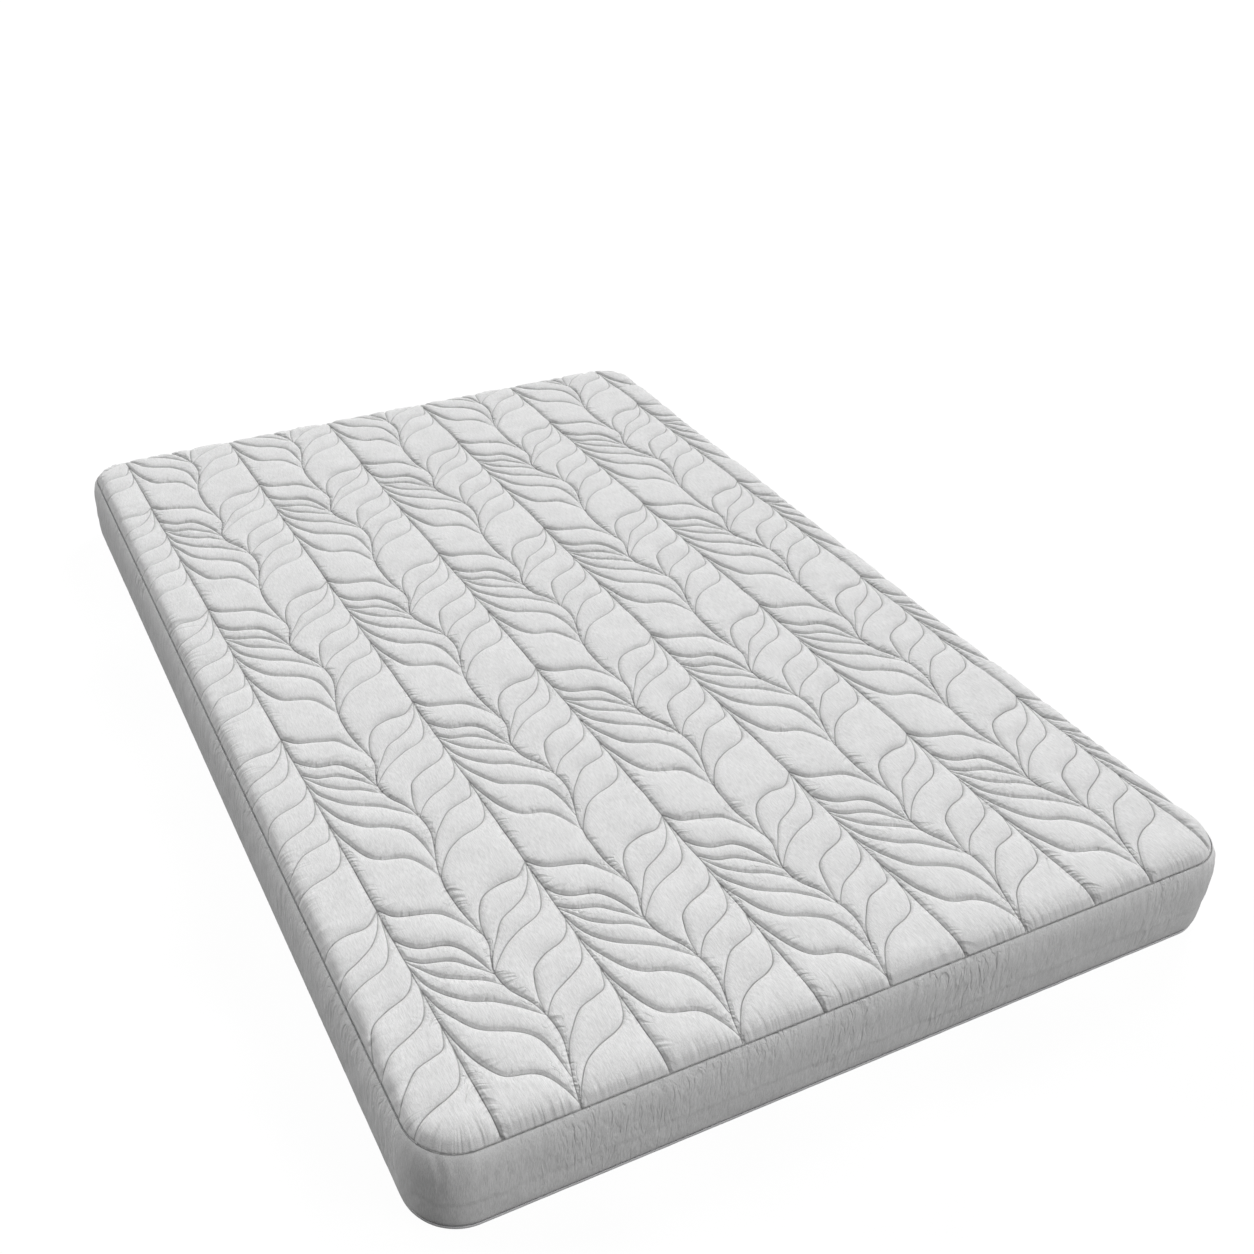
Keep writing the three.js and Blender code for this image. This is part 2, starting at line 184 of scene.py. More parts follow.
# %% One repeat of the quilting
REPEAT_ACROSS = 248
REPEAT_ALONG = 456
REPEAT_SCALE = 0.9768 * MM
FIRST_REPEAT = np.array([-0.1126, 0.7642])
PATTERN_TURN = math.radians(0.855)

VALLEY = [(112, 0), (113, 50), (124, 125), (113, 165), (107, 190), (112, 225), (131, 260),
          (140, 295), (141, 335), (129, 380), (119, 412), (112, 456)]
FALLING = [
    [(0, 0), (20, 26), (50, 37), (81, 48), (98, 68), (114, 94), (122, 112)],
    [(0, 66), (12, 86), (31, 101), (62, 109), (78, 122), (92, 147), (105, 184)],
    [(0, 108), (21, 127), (54, 139), (77, 158), (95, 177), (107, 192)],
    [(0, 112), (10, 130), (30, 158), (55, 177), (80, 190), (97, 204), (107, 214)],
    [(0, 118), (8, 163), (25, 193), (52, 219), (85, 238), (112, 261), (137, 288)],
    [(0, 172), (8, 208), (27, 250), (50, 277), (84, 294), (108, 316), (119, 348), (122, 395)],
    [(0, 235), (7, 280), (22, 327), (42, 358), (76, 370), (92, 383), (105, 408), (115, 434)],
]
CLIMBING = [
    [(124, 126), (130, 92), (142, 62), (160, 42), (190, 31), (222, 27), (248, 3)],
    [(107, 188), (118, 160), (138, 130), (160, 101), (188, 85), (214, 67), (235, 38), (248, 5)],
    [(107, 190), (122, 171), (146, 148), (176, 130), (210, 116), (228, 97), (240, 64), (248, 15)],
    [(140, 282), (144, 255), (152, 228), (162, 207), (186, 190), (220, 177), (238, 160), (248, 138)],
    [(140, 293), (152, 276), (172, 257), (206, 240), (228, 225), (242, 198), (248, 165)],
    [(131, 376), (143, 350), (160, 327), (186, 300), (216, 289), (236, 279), (248, 245)],
    [(117, 433), (128, 414), (150, 386), (178, 368), (210, 357), (230, 343), (243, 315), (248, 280)],
]
SPINE = [(0, 0), (0, 150), (0, 300), (0, 456)]


def smooth_line(points, spacing=1.0):
    """Even points along a smooth curve through the given ones (a Catmull-Rom spline)."""
    p = np.array(points, float)
    p = np.vstack([2 * p[0] - p[1], p, 2 * p[-1] - p[-2]])
    pieces = []
    for a, b, c, d in zip(p[:-3], p[1:-2], p[2:-1], p[3:]):
        steps = max(2, int(np.linalg.norm(c - b) / spacing))
        t = np.linspace(0, 1, steps, endpoint=False)[:, None]
        pieces.append(0.5 * (2 * b + (c - a) * t + (2 * a - 5 * b + 4 * c - d) * t ** 2
                             + (3 * b - a - 3 * c + d) * t ** 3))
    return np.vstack(pieces + [p[-2:-1]])


repeat_lines = [smooth_line(line) for line in [SPINE, VALLEY] + FALLING + CLIMBING]
# how hard each line pulls the cloth together, and how dark its painted groove shade is: the spine and the
# valley most, climbing lines least
repeat_pulls = [1.0, 1.0] + [0.5] * len(FALLING) + [0.15] * len(CLIMBING)
print("lines in a repeat:", len(repeat_lines))

# %% [markdown]
# ## The stitches on the panel
# The repeat is laid side by side and one after the other over the panel, and each line is cut off at
# the top seam. A search tree over all the stitches then tells, for any point of the cloth, which
# point of which thread is nearest. That shapes the grooves and the puckers.

# %% Stitches over the whole panel
STITCH_MARGIN = 1.5 * MM
COLUMNS = range(-4, 4)
ROWS = range(-1, 5)
seam_half_x = half_width - seam_inset
seam_half_y = half_length - seam_inset
seam_radius = plan_radius - seam_inset


def depth_on_panel(x, y):
    """How far inside the top seam a point lies."""
    return depth_inside(x, y, seam_half_x, seam_half_y, seam_radius)[0]


def stitch_chains():
    """Every stitch line on the panel as a chain of plan points about a millimetre apart, and its pull."""
    chains, pulls = [], []
    across = np.array([math.cos(PATTERN_TURN), math.sin(PATTERN_TURN)]) * REPEAT_SCALE
    forward = np.array([math.sin(PATTERN_TURN), -math.cos(PATTERN_TURN)]) * REPEAT_SCALE
    for column in COLUMNS:
        for row in ROWS:
            for line, pull in zip(repeat_lines, repeat_pulls):
                places = line + np.array([REPEAT_ACROSS * column, REPEAT_ALONG * row])
                x, y = (FIRST_REPEAT + places[:, :1] * across + places[:, 1:] * forward).T
                inside = depth_on_panel(x, y) > STITCH_MARGIN
                changes = np.nonzero(np.diff(inside.astype(int)))[0] + 1
                for run in np.split(np.arange(len(x)), changes):
                    if inside[run[0]] and len(run) > 3:
                        chains.append(np.column_stack([x[run], y[run]]))
                        pulls.append(pull)
    return chains, pulls


class Stitches:
    """All the stitch points, with a tree to look them up."""

    def __init__(self, chains, pulls):
        self.points = np.vstack(chains)
        self.pulls = np.repeat(pulls, [len(c) for c in chains])
        self.ends = np.concatenate([np.arange(len(c)) == len(c) - 1 for c in chains])
        self.tree = KDTree(len(self.points))
        for number, (x, y) in enumerate(self.points):
            self.tree.insert((x, y, 0), number)
        self.tree.balance()

    def nearest(self, x, y):
        """Distance to the nearest stitch line, the foot point on it and how hard it pulls."""
        found = np.array([self.tree.find((px, py, 0))[1] for px, py in zip(x, y)])
        place = np.column_stack([x, y])
        best, foot = np.full(len(x), 9.0), np.zeros((len(x), 2))
        for start in (found, np.maximum(found - 1, 0)):
            end = np.where(self.ends[start], start, np.minimum(start + 1, len(self.points) - 1))
            run = self.points[end] - self.points[start]
            share = ((place - self.points[start]) * run).sum(1) / np.maximum((run ** 2).sum(1), 1e-12)
            spot = self.points[start] + np.clip(share, 0, 1)[:, None] * run
            gap = np.hypot(*(place - spot).T)
            foot = np.where((gap < best)[:, None], spot, foot)
            best = np.minimum(gap, best)
        return best, foot, self.pulls[found]


chains, chain_pulls = stitch_chains()
stitches = Stitches(chains, chain_pulls)
print("stitch lines:", len(chains), "metres of stitching:", round(len(stitches.points) * MM, 1))

# %% [markdown]
# ## Gathers and unevenness
# Sewn cloth is never smooth. `gather` gives short ridges that run across a seam, strong in some
# places and absent in others; `unevenness` gives the slow swells of a hand-filled piece. Both come
# from sums of waves with fixed random phases, so every run gives the same mattress.

# %% Wave noise
def waves(seed, lengths, count=3):
    """Random wave vectors for a set of wavelengths, in metres."""
    draw = random.Random(seed)
    made = []
    for length in lengths:
        for _ in range(count):
            turn = draw.uniform(0, 2 * math.pi)
            size = 2 * math.pi / (length * draw.uniform(0.8, 1.25))
            made.append((size * math.cos(turn), size * math.sin(turn), draw.uniform(0, 2 * math.pi)))
    return made


def unevenness(x, y, seed, lengths):
    """Slow random swells between about -1 and 1."""
    total = np.zeros_like(x)
    made = waves(seed, lengths)
    for ax, ay, phase in made:
        total += np.sin(ax * x + ay * y + phase)
    return total / math.sqrt(len(made) / 2) / 1.6


def gather(along, seed, lengths):
    """Random ridges along a seam, between about -1 and 1, which close round the mattress."""
    total = np.zeros_like(along)
    draw = random.Random(seed)
    for length in lengths:
        turns = round(edge_loop / (length * draw.uniform(0.85, 1.15)))
        sways = round(edge_loop / (length * draw.uniform(5, 8)))
        bend = 2.2 * np.sin(2 * math.pi * sways * along / edge_loop + draw.uniform(0, 2 * math.pi))
        total += np.sin(2 * math.pi * turns * along / edge_loop + bend + draw.uniform(0, 2 * math.pi))
    return total / math.sqrt(len(lengths))


print("swells 10 cm apart:", np.round(unevenness(0.1 * np.arange(5), np.zeros(5), 7, (0.3, 0.12)), 2))

# %% [markdown]
# ## How the quilting puffs up
# Between its stitch lines the wadding pushes the cloth up like a soap film blown from below: high in
# the middle of a wide leaf, low in a narrow one, and nothing at the thread. That film is worked out
# on a fine square raster of the panel by letting each point settle to the mean of its neighbours
# plus a little, again and again, while the points on a stitch stay down.

# %% The height of the film
RASTER = 2.0 * MM
FILM_ROUNDS = 260
OVER_RELAX = 1.85


def film_heights():
    """Solves the blown film on a raster and returns it with the raster's first corner."""
    low = np.array([-seam_half_x, -seam_half_y]) - 2 * RASTER
    count_x = int(2 * seam_half_x / RASTER) + 5
    count_y = int(2 * seam_half_y / RASTER) + 5
    free = np.ones((count_y, count_x), bool)
    cells = np.rint((stitches.points - low) / RASTER).astype(int)
    free[cells[:, 1], cells[:, 0]] = False
    grid_x, grid_y = np.meshgrid(low[0] + RASTER * np.arange(count_x), low[1] + RASTER * np.arange(count_y))
    free &= depth_on_panel(grid_x, grid_y) > 0
    film = np.zeros((count_y, count_x), np.float32)
    row, column = np.indices(film.shape)
    checks = [free & ((row + column) % 2 == parity) for parity in (0, 1)]
    push = np.float32(RASTER ** 2)
    for _ in range(FILM_ROUNDS):
        for check in checks:
            around = np.zeros_like(film)
            around[1:-1, 1:-1] = film[:-2, 1:-1] + film[2:, 1:-1] + film[1:-1, :-2] + film[1:-1, 2:]
            film = np.where(check, film + OVER_RELAX * ((around + push) / 4 - film), film)
    return film, low


def sample(raster, low, x, y):
    """Reads a raster between its points."""
    u = np.clip((x - low[0]) / RASTER, 0, raster.shape[1] - 1.001)
    v = np.clip((y - low[1]) / RASTER, 0, raster.shape[0] - 1.001)
    i, j = u.astype(int), v.astype(int)
    a, b = u - i, v - j
    top = raster[j, i] * (1 - a) + raster[j, i + 1] * a
    bottom = raster[j + 1, i] * (1 - a) + raster[j + 1, i + 1] * a
    return top * (1 - b) + bottom * b


film, film_low = film_heights()
print("highest film:", round(float(np.sqrt(film.max())), 4))

# %% [markdown]
# ## Mesh helpers
# Large pieces are built from arrays of points. These helpers turn the arrays into a mesh object and
# give it the numbers that its finish reads.

# %% From arrays to a mesh
def grid_faces(rows, columns, closed_rows=False, closed_columns=False):
    """Squares of a rows by columns grid of points, as an array of four corners."""
    last_row = rows if closed_rows else rows - 1
    last_column = columns if closed_columns else columns - 1
    r, c = np.meshgrid(np.arange(last_row), np.arange(last_column), indexing="ij")
    up, right = (r + 1) % rows, (c + 1) % columns
    corners = [r * columns + c, r * columns + right, up * columns + right, up * columns + c]
    return np.stack(corners, -1).reshape(-1, 4)


def make_mesh(name, points, faces, cloth=None):
    """A smooth-shaded mesh object. cloth gives its UV coordinates in metres, else the plan does."""
    mesh = bpy.data.meshes.new(name)
    mesh.from_pydata(points, [], faces, shade_flat=False)
    mesh.validate()
    corners = np.zeros(len(mesh.loops), np.int32)
    mesh.loops.foreach_get("vertex_index", corners)
    cloth = points[:, :2] if cloth is None else cloth
    mesh.uv_layers.new(name="cloth").data.foreach_set("uv", cloth[corners].astype(np.float32).ravel())
    piece = bpy.data.objects.new(name, mesh)
    bpy.context.scene.collection.objects.link(piece)
    return piece


def set_attribute(piece, name, values):
    """A number or a place for each point of a piece, which its material reads."""
    values = np.asarray(values, np.float32)
    if values.ndim == 1:
        piece.data.attributes.new(name, "FLOAT", "POINT").data.foreach_set("value", values)
    else:
        values = np.pad(values, ((0, 0), (0, 3 - values.shape[1])))
        made = piece.data.attributes.new(name, "FLOAT_VECTOR", "POINT")
        made.data.foreach_set("vector", values.ravel())


print("squares in a grid of 3 by 4 points:", len(grid_faces(3, 4)))

# %% [markdown]
# ## The panel's mesh in plan
# Grooves as sharp as a sewn line need mesh edges that run along the thread. So the plan is
# triangulated with the stitch lines as fixed edges: points along each line, a row close on either
# side and another further out, then an even field in the open leaves, and rings that follow the
# seam. The triangulation joins them all with well-shaped triangles.

# %% Points and triangles of the panel
STITCH_SPACING = 3
ROW_OFFSETS = (1.4 * MM, 3.6 * MM)
FIELD_SPACING = 5 * MM
FIELD_ROW_SHARE = 0.87
FIELD_CLEARANCE = 2 * MM
RIM_SPACING = 4 * MM
RIM_CLEARANCE = 1.3 * MM
STITCH_CELL = 1.2 * MM
CELL_KEY = 100000
MERGE_DISTANCE = 1e-7
RIM_DEPTHS = [k * MM for k in (0, 0.9, 1.9, 3.1, 4.6, 6.5, 9, 12, 15.5)]


def even_ring(step):
    """Distances along the outer plan, once round."""
    count = round(edge_loop / step)
    return np.arange(count) * edge_loop / count


def one_per_cell(points, size):
    """Numbers of the points that are kept when each small square keeps one, and who stands for each."""
    cells = np.rint(points / size).astype(np.int64)
    keys = cells[:, 0] * CELL_KEY + cells[:, 1]
    kept, stand_in = np.unique(keys, return_index=True, return_inverse=True)[1:]
    return kept, stand_in


def rows_beside(offset):
    """Points on both sides of every stitch line, where no other line is nearer."""
    rows = []
    for chain in chains:
        along = np.gradient(chain, axis=0)
        across = np.column_stack([-along[:, 1], along[:, 0]])
        across /= np.maximum(np.hypot(*across.T), 1e-9)[:, None]
        picked = slice(1, None, STITCH_SPACING)
        rows += [(chain + side * offset * across)[picked] for side in (1, -1)]
    points = np.vstack(rows)
    clear = stitches.nearest(*points.T)[0] > 0.9 * offset
    clear &= depth_on_panel(*points.T) > 2.5 * MM
    points = points[clear]
    return points[one_per_cell(points, 0.75 * offset + 0.8 * MM)[0]]


def open_field():
    """An even field of points in the open parts of the leaves."""
    x = np.arange(-seam_half_x, seam_half_x, FIELD_SPACING)
    y = np.arange(-seam_half_y, seam_half_y, FIELD_SPACING * FIELD_ROW_SHARE)
    x, y = np.meshgrid(x, y)
    x = x + 0.5 * FIELD_SPACING * (np.arange(len(y)) % 2)[:, None]
    x, y = x.ravel(), y.ravel()
    inner = depth_on_panel(x, y) > RIM_DEPTHS[-1] + 3 * MM
    x, y = x[inner], y[inner]
    clear = stitches.nearest(x, y)[0] > ROW_OFFSETS[-1] + FIELD_CLEARANCE
    return np.column_stack([x, y])[clear]


def rim_rings():
    """Points that follow the top seam, ring after ring; the first ring is the panel's edge."""
    along = even_ring(RIM_SPACING)
    x, y, nx, ny = ring_at(along)
    rings = []
    for depth in RIM_DEPTHS:
        ring = np.column_stack([x - nx * (seam_inset + depth), y - ny * (seam_inset + depth)])
        clear = stitches.nearest(*ring.T)[0] > RIM_CLEARANCE
        rings.append(ring if depth == 0 else ring[clear])
    return rings


def panel_plan():
    """Plan points and triangles of the panel, and which points lie on its edge, in order."""
    picked = [np.unique(np.append(np.arange(0, len(c), STITCH_SPACING), len(c) - 1)) for c in chains]
    line_points = np.vstack([c[p] for c, p in zip(chains, picked)])
    kept, stand_in = one_per_cell(line_points, STITCH_CELL)
    lengths = np.cumsum([0] + [len(p) for p in picked])
    links = np.concatenate([np.arange(a, b - 1) for a, b in zip(lengths[:-1], lengths[1:])])
    edges = np.column_stack([stand_in[links], stand_in[links + 1]])
    edges = np.unique(np.sort(edges[edges[:, 0] != edges[:, 1]], axis=1), axis=0)
    rings = rim_rings()
    edge_ring = len(kept) + np.arange(len(rings[0]))
    edges = np.vstack([edges, np.column_stack([edge_ring, np.roll(edge_ring, -1)])])
    groups = [line_points[kept]] + rings + [rows_beside(offset) for offset in ROW_OFFSETS] + [open_field()]
    points = [Vector(p) for p in np.vstack(groups)]
    made = delaunay_2d_cdt(points, edges.tolist(), [], 1, MERGE_DISTANCE)
    plan = np.array([p[:] for p in made[0]])
    number = {origin: k for k, origins in enumerate(made[3]) for origin in origins}
    return plan, np.array(made[2]), np.array([number[k] for k in edge_ring])


plan_points, plan_triangles, plan_rim = panel_plan()
print("panel plan:", len(plan_points), "points,", len(plan_triangles), "triangles")

# %% [markdown]
# ## The panel's relief
# Heights add up from the crown of the mattress, the puff of each leaf and the pull of the thread.
# Close to a thread the puff falls as a steep curve, so the groove stays narrow. Soft gathers run in
# from the top seam. The fine puckers along the threads are left to the finish.

# %% Heights of the quilted panel
PUFF = 9.5 * MM
FILM_SCALE = (12 * MM) ** 2
FILM_POWER = 0.62
GROOVE_REACH = 3 * MM
GROOVE_POWER = 0.65
STITCH_SINK = 4.5 * MM
ROLL_HEIGHT = 14 * MM
SIDE_ROLL_WIDTH = 34 * MM
END_ROLL_WIDTH = 52 * MM
SWELL_RUN = 0.25
SEAM_TUCK = 2.8 * MM
SEAM_PINCH = 1.4 * MM
PUFF_RUN = 9 * MM
SINK_RUN = 20 * MM
GATHER_DEPTH = 1.1 * MM
GATHER_REACH = 26 * MM
PANEL_SWAY = 0.7 * MM
UNDERSIDE_DROP = 7.5 * MM


def crown(x, y):
    """Height of the panel over the seam: a round edge, wider at the ends, then a slow swell."""
    depth, nx, ny = depth_inside(x, y, seam_half_x, seam_half_y, seam_radius)
    width = SIDE_ROLL_WIDTH + (END_ROLL_WIDTH - SIDE_ROLL_WIDTH) * ny ** 2
    roll = 1 - (1 - np.clip(depth / width, 0, 1)) ** 3
    swell = 1 - (1 - np.clip(depth / SWELL_RUN, 0, 1)) ** 3
    return ROLL_HEIGHT * roll + (crown_z - seam_z - ROLL_HEIGHT) * swell


def puff_height(x, y, distance, foot):
    """How far the wadding lifts the cloth between the threads."""
    stretch = np.maximum(GROOVE_REACH / np.maximum(distance, 0.01 * MM), 1)
    far_x = foot[:, 0] + (x - foot[:, 0]) * stretch
    far_y = foot[:, 1] + (y - foot[:, 1]) * stretch
    blown = np.maximum(sample(film, film_low, far_x, far_y), 0)
    puff = 1 - np.exp(-(blown / FILM_SCALE) ** FILM_POWER)
    return PUFF * puff * np.clip(distance / GROOVE_REACH, 0, 1) ** GROOVE_POWER


def edge_gathers(x, y, depth):
    """Soft ridges that run in from the top seam, in groups."""
    nx, ny = depth_inside(x, y, seam_half_x, seam_half_y, seam_radius)[1:]
    patch = np.clip(0.35 + 0.9 * unevenness(x, y, 23, (0.3, 0.12)), 0, 1)
    ridges = gather(along_edge(x, y, nx, ny), 29, (0.016, 0.021, 0.03))
    fade = np.exp(-depth / GATHER_REACH) * np.clip(depth / (3 * MM), 0, 1)
    return GATHER_DEPTH * ridges * patch * fade


def panel_heights(x, y, distance, foot):
    """Height of each point of the quilted panel."""
    depth = depth_on_panel(x, y)
    inner = 1 - np.exp(-np.maximum(depth, 0) / SINK_RUN)
    height = seam_z + crown(x, y) - STITCH_SINK * inner
    height += puff_height(x, y, distance, foot) * np.clip(depth / PUFF_RUN, 0, 1) ** 0.7
    height += edge_gathers(x, y, depth)
    height -= SEAM_TUCK * np.exp(-np.maximum(depth, 0) / SEAM_PINCH)
    return height + PANEL_SWAY * unevenness(x, y, 7, (0.09, 0.05)) * inner


middle = np.zeros(1)
print("crown over the seam, in metres:", np.round(crown(middle, middle), 4))

# %% [markdown]
# ## Closing the panel
# A coarse underside, which shares the points of the edge, closes the panel so that it is one solid
# quilted layer.

# %% Build the quilted panel
UNDERSIDE_COLUMNS = 48
UNDERSIDE_ROWS = 70


def underside_of(rim):
    """Coarse plan points and triangles inside a rim; the rim's points keep their places."""
    columns = np.linspace(-seam_half_x, seam_half_x, UNDERSIDE_COLUMNS)
    rows = np.linspace(-seam_half_y, seam_half_y, UNDERSIDE_ROWS)
    x, y = (grid.ravel() for grid in np.meshgrid(columns, rows))
    deep = depth_on_panel(x, y) > 8 * MM
    inner = np.column_stack([x[deep], y[deep]])
    points = [Vector(p) for p in np.vstack([rim, inner])]
    edges = [(k, (k + 1) % len(rim)) for k in range(len(rim))]
    triangles = np.array(delaunay_2d_cdt(points, edges, [], 1, MERGE_DISTANCE)[2])
    depth = depth_on_panel(*inner.T)
    height = seam_z - SEAM_TUCK + crown(*inner.T) - UNDERSIDE_DROP * np.clip(depth / SIDE_ROLL_WIDTH, 0, 1)
    return np.column_stack([inner, height]), triangles


def build_panel():
    x, y = plan_points.T
    distance, foot, pulls = stitches.nearest(x, y)
    z = panel_heights(x, y, distance, foot)
    inner, under = underside_of(plan_points[plan_rim])
    number = np.concatenate([plan_rim, len(x) + np.arange(len(inner))])
    points = np.vstack([np.column_stack([x, y, z]), inner])
    panel = make_mesh("quilted_panel", points, np.vstack([plan_triangles, number[under][:, ::-1]]))
    plan = points[:, :2]
    depth, nx, ny = depth_inside(*plan.T, seam_half_x, seam_half_y, seam_radius)
    set_attribute(panel, "place", points)
    set_attribute(panel, "stitch", np.concatenate([distance, np.full(len(inner), 0.02)]))
    set_attribute(panel, "stitch_place", np.vstack([foot, inner[:, :2]]))
    set_attribute(panel, "pull", np.concatenate([pulls, np.zeros(len(inner))]))
    set_attribute(panel, "edge", depth)
    set_attribute(panel, "edge_place", plan + np.column_stack([nx, ny]) * depth[:, None])
    return panel


panel = build_panel()
print("panel faces:", len(panel.data.polygons))

# %% [markdown]
# ## Pieces that run round the edge
# The border, its padding, the binding, the tapes and the coils are all strips that follow the plan.
# `ring_piece` makes one from its cross-section: each row is an inset from the outer plan and a
# height, either one number or one for each place round the edge.

# %% A closed strip from its cross-section
def ring_piece(name, along, rows, open_ends=False):
    """A closed band round the mattress. rows go up the outside and down the inside."""
    x, y, nx, ny = ring_at(along)
    points = np.vstack([
        np.column_stack([x - nx * inset, y - ny * inset, height + 0 * along]) for inset, height in rows
    ])
    faces = grid_faces(len(rows), len(along), closed_rows=True, closed_columns=not open_ends)
    if open_ends:
        first = len(along) * np.arange(len(rows))
        faces = [*faces.tolist(), first.tolist(), (first + len(along) - 1)[::-1].tolist()]
    cloth = np.column_stack([np.tile(along, len(rows)), points[:, 2]])
    piece = make_mesh(name, points, faces, cloth)
    set_attribute(piece, "place", points)
    return piece


# %% [markdown]
# ## The border
# The border is a plain strip of the same cloth, gathered a little onto the top seam, so short
# upright ridges hang from it. It rounds out over the padding, dips at the seam, and its hem turns
# under above the zip. A little over a third of the way up, the edge of the padding shows through as
# a faint wandering line.

# %% The border
BORDER_STEP = 4.2 * MM
CLOTH_THICKNESS = 1.2 * MM
SHOULDER_HEIGHT = 45 * MM
HEM_INSET = 3 * MM
HEM_CURVE_HEIGHT = 42 * MM
BORDER_BULGE = 1.9 * MM
RIDGE_DEPTH = 1.2 * MM
RIDGE_REACH = 34 * MM
SLOW_SWELL = 0.6 * MM
QUICK_SWELL = 0.3 * MM
PADDING_LINE = 58 * MM
PADDING_STEP = 0.6 * MM
PADDING_STEP_RUN = 2 * MM


def border_rows():
    """Inset, height and upward tilt of the cloth from the hem up to the top seam."""
    rows = [(HEM_INSET + 1.2 * MM, foot_z + 0.3 * MM, 0.0)]
    for tilt in np.radians([84, 70, 58, 48, 40, 33, 27, 22, 17, 13, 9, 5, 0]):
        inset = (HEM_INSET + BORDER_BULGE) * (1 - math.cos(tilt)) - BORDER_BULGE
        rows.append((inset, foot_z + HEM_CURVE_HEIGHT * (1 - math.sin(tilt)), -tilt))
    upright = np.arange(foot_z + HEM_CURVE_HEIGHT + 4 * MM, seam_z - SHOULDER_HEIGHT - 2 * MM, 4.5 * MM)
    rows += [(-BORDER_BULGE, height, 0.0) for height in upright]
    last = math.radians(80)
    for tilt in np.radians([0, 4, 8, 12, 16.5, 21, 26, 31, 37, 43, 50, 57, 64, 71, 78]):
        inset = (seam_inset + BORDER_BULGE) * (1 - math.cos(tilt)) / (1 - math.cos(last)) - BORDER_BULGE
        rows.append((inset, seam_z - SHOULDER_HEIGHT * (1 - math.sin(tilt) / math.sin(last)), tilt))
    for inside, drop in ((0.6, 0.2), (0.3, 1.1), (0.2, SEAM_TUCK / MM)):
        rows.append((seam_inset - inside * MM, seam_z - drop * MM, math.radians(78)))
    return rows


def border_swell(along, height):
    """How far the cloth stands out from its plain profile."""
    drop = np.maximum(seam_z - height, 0)
    rise = height - foot_z
    lean = 7 * MM * np.sin(drop / (22 * MM) + 2 * math.pi * 40 * along / edge_loop)
    patch = np.clip(0.5 + 0.8 * unevenness(along, height, 41, (0.25, 0.11)), 0, 1)
    ridges = gather(along + lean, 29, (0.013, 0.019, 0.027))
    fade = np.exp(-drop / RIDGE_REACH) * np.clip(drop / (5 * MM), 0, 1)
    swell = RIDGE_DEPTH * ridges * patch * fade
    away = np.clip(drop / (10 * MM), 0, 1) * np.clip(rise / (12 * MM), 0, 1)
    swell += SLOW_SWELL * unevenness(along, height, 43, (0.16, 0.07)) * away
    swell += QUICK_SWELL * unevenness(along, height * 0.6, 47, (0.028, 0.016)) * away
    line = PADDING_LINE + 4 * MM * unevenness(along, 0 * along, 53, (0.12, 0.05))
    return swell + PADDING_STEP * np.tanh((height - line) / PADDING_STEP_RUN) * away


def build_border():
    along = even_ring(BORDER_STEP)
    outer = []
    for inset, height, tilt in border_rows():
        swell = border_swell(along, height)
        outer.append((inset - swell * math.cos(tilt), height + swell * math.sin(tilt)))
    inner = [(inset + CLOTH_THICKNESS, height - 0.4 * MM) for inset, height in outer[2:-1:3]][::-1]
    return ring_piece("border_cloth", along, outer + inner)


border = build_border()
print("border faces:", len(border.data.polygons))

# %% [markdown]
# ## The zip round the foot
# An invisible zip joins the border to the base cloth: two woven tapes whose edges meet over a pair
# of coils. The upper tape hides behind the border's hem, and the lower one leans in at its foot,
# where the base cloth pulls on it. The coils end at their stops, with a short gap for putting the
# slider on, and their teeth stand half a pitch apart.

# %% Tapes and coils
TAPE_STEP = 6 * MM
TAPE_THICKNESS = 0.7 * MM
TAPE_FOLD = 0.35 * MM
TAPE_RIPPLE = 0.15 * MM
TOOTH_PITCH = 3 * MM
TOOTH_DEPTH = 0.35 * MM
COIL_FACE = 0.5 * MM
COIL_DEPTH = 1.9 * MM
BASE_LEAN = 4.5 * MM


def build_tape(name, layer, fold_low, lean=0.0):
    """A woven tape; its edge at the coils is folded back, and it may lean in at its foot."""
    low, high = layer_box(layer)
    face = half_width - high.x
    back, middle = face + TAPE_THICKNESS, (low.z + high.z) / 2
    along = even_ring(TAPE_STEP)
    ripple = TAPE_RIPPLE * unevenness(along, 0 * along, 61, (0.05, 0.03))
    bottom_in, top_in = (TAPE_FOLD, 0) if fold_low else (lean, TAPE_FOLD)
    return ring_piece(name, along, [
        (back + lean, low.z + 0.1 * MM),
        (face + bottom_in, low.z),
        (face - 0.1 * lean + ripple, low.z + 0.8 * MM),
        (face + ripple, middle),
        (face + ripple, high.z - 0.8 * MM),
        (face + top_in, high.z),
        (back, high.z - 0.1 * MM),
        (back + ripple, middle),
    ])


def build_coil(name, layer, shift):
    """One side of the zip: a coil seen as a row of teeth, from the bottom stop round to the top stop."""
    low, high = layer_box(layer)
    face = half_width - high.x
    end = edge_loop - (flat_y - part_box(f"{layer}_back")[1].y)
    start = -(flat_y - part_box(f"{layer}_start")[0].y)
    teeth = round((end - start) / TOOTH_PITCH)
    quarter_turn = np.arange(4 * teeth + 1)
    along = start + (end - start) * quarter_turn / (4 * teeth)
    tooth = TOOTH_DEPTH * np.cos(quarter_turn * math.pi / 2 + shift)
    rows = [
        (face + COIL_DEPTH, low.z + 0.3 * MM),
        (face + COIL_FACE + tooth, low.z + 0.1 * MM),
        (face + TOOTH_DEPTH + tooth, (low.z + high.z) / 2),
        (face + COIL_FACE + tooth, high.z - 0.1 * MM),
        (face + COIL_DEPTH, high.z - 0.3 * MM),
    ]
    return ring_piece(name, along, rows, open_ends=True)


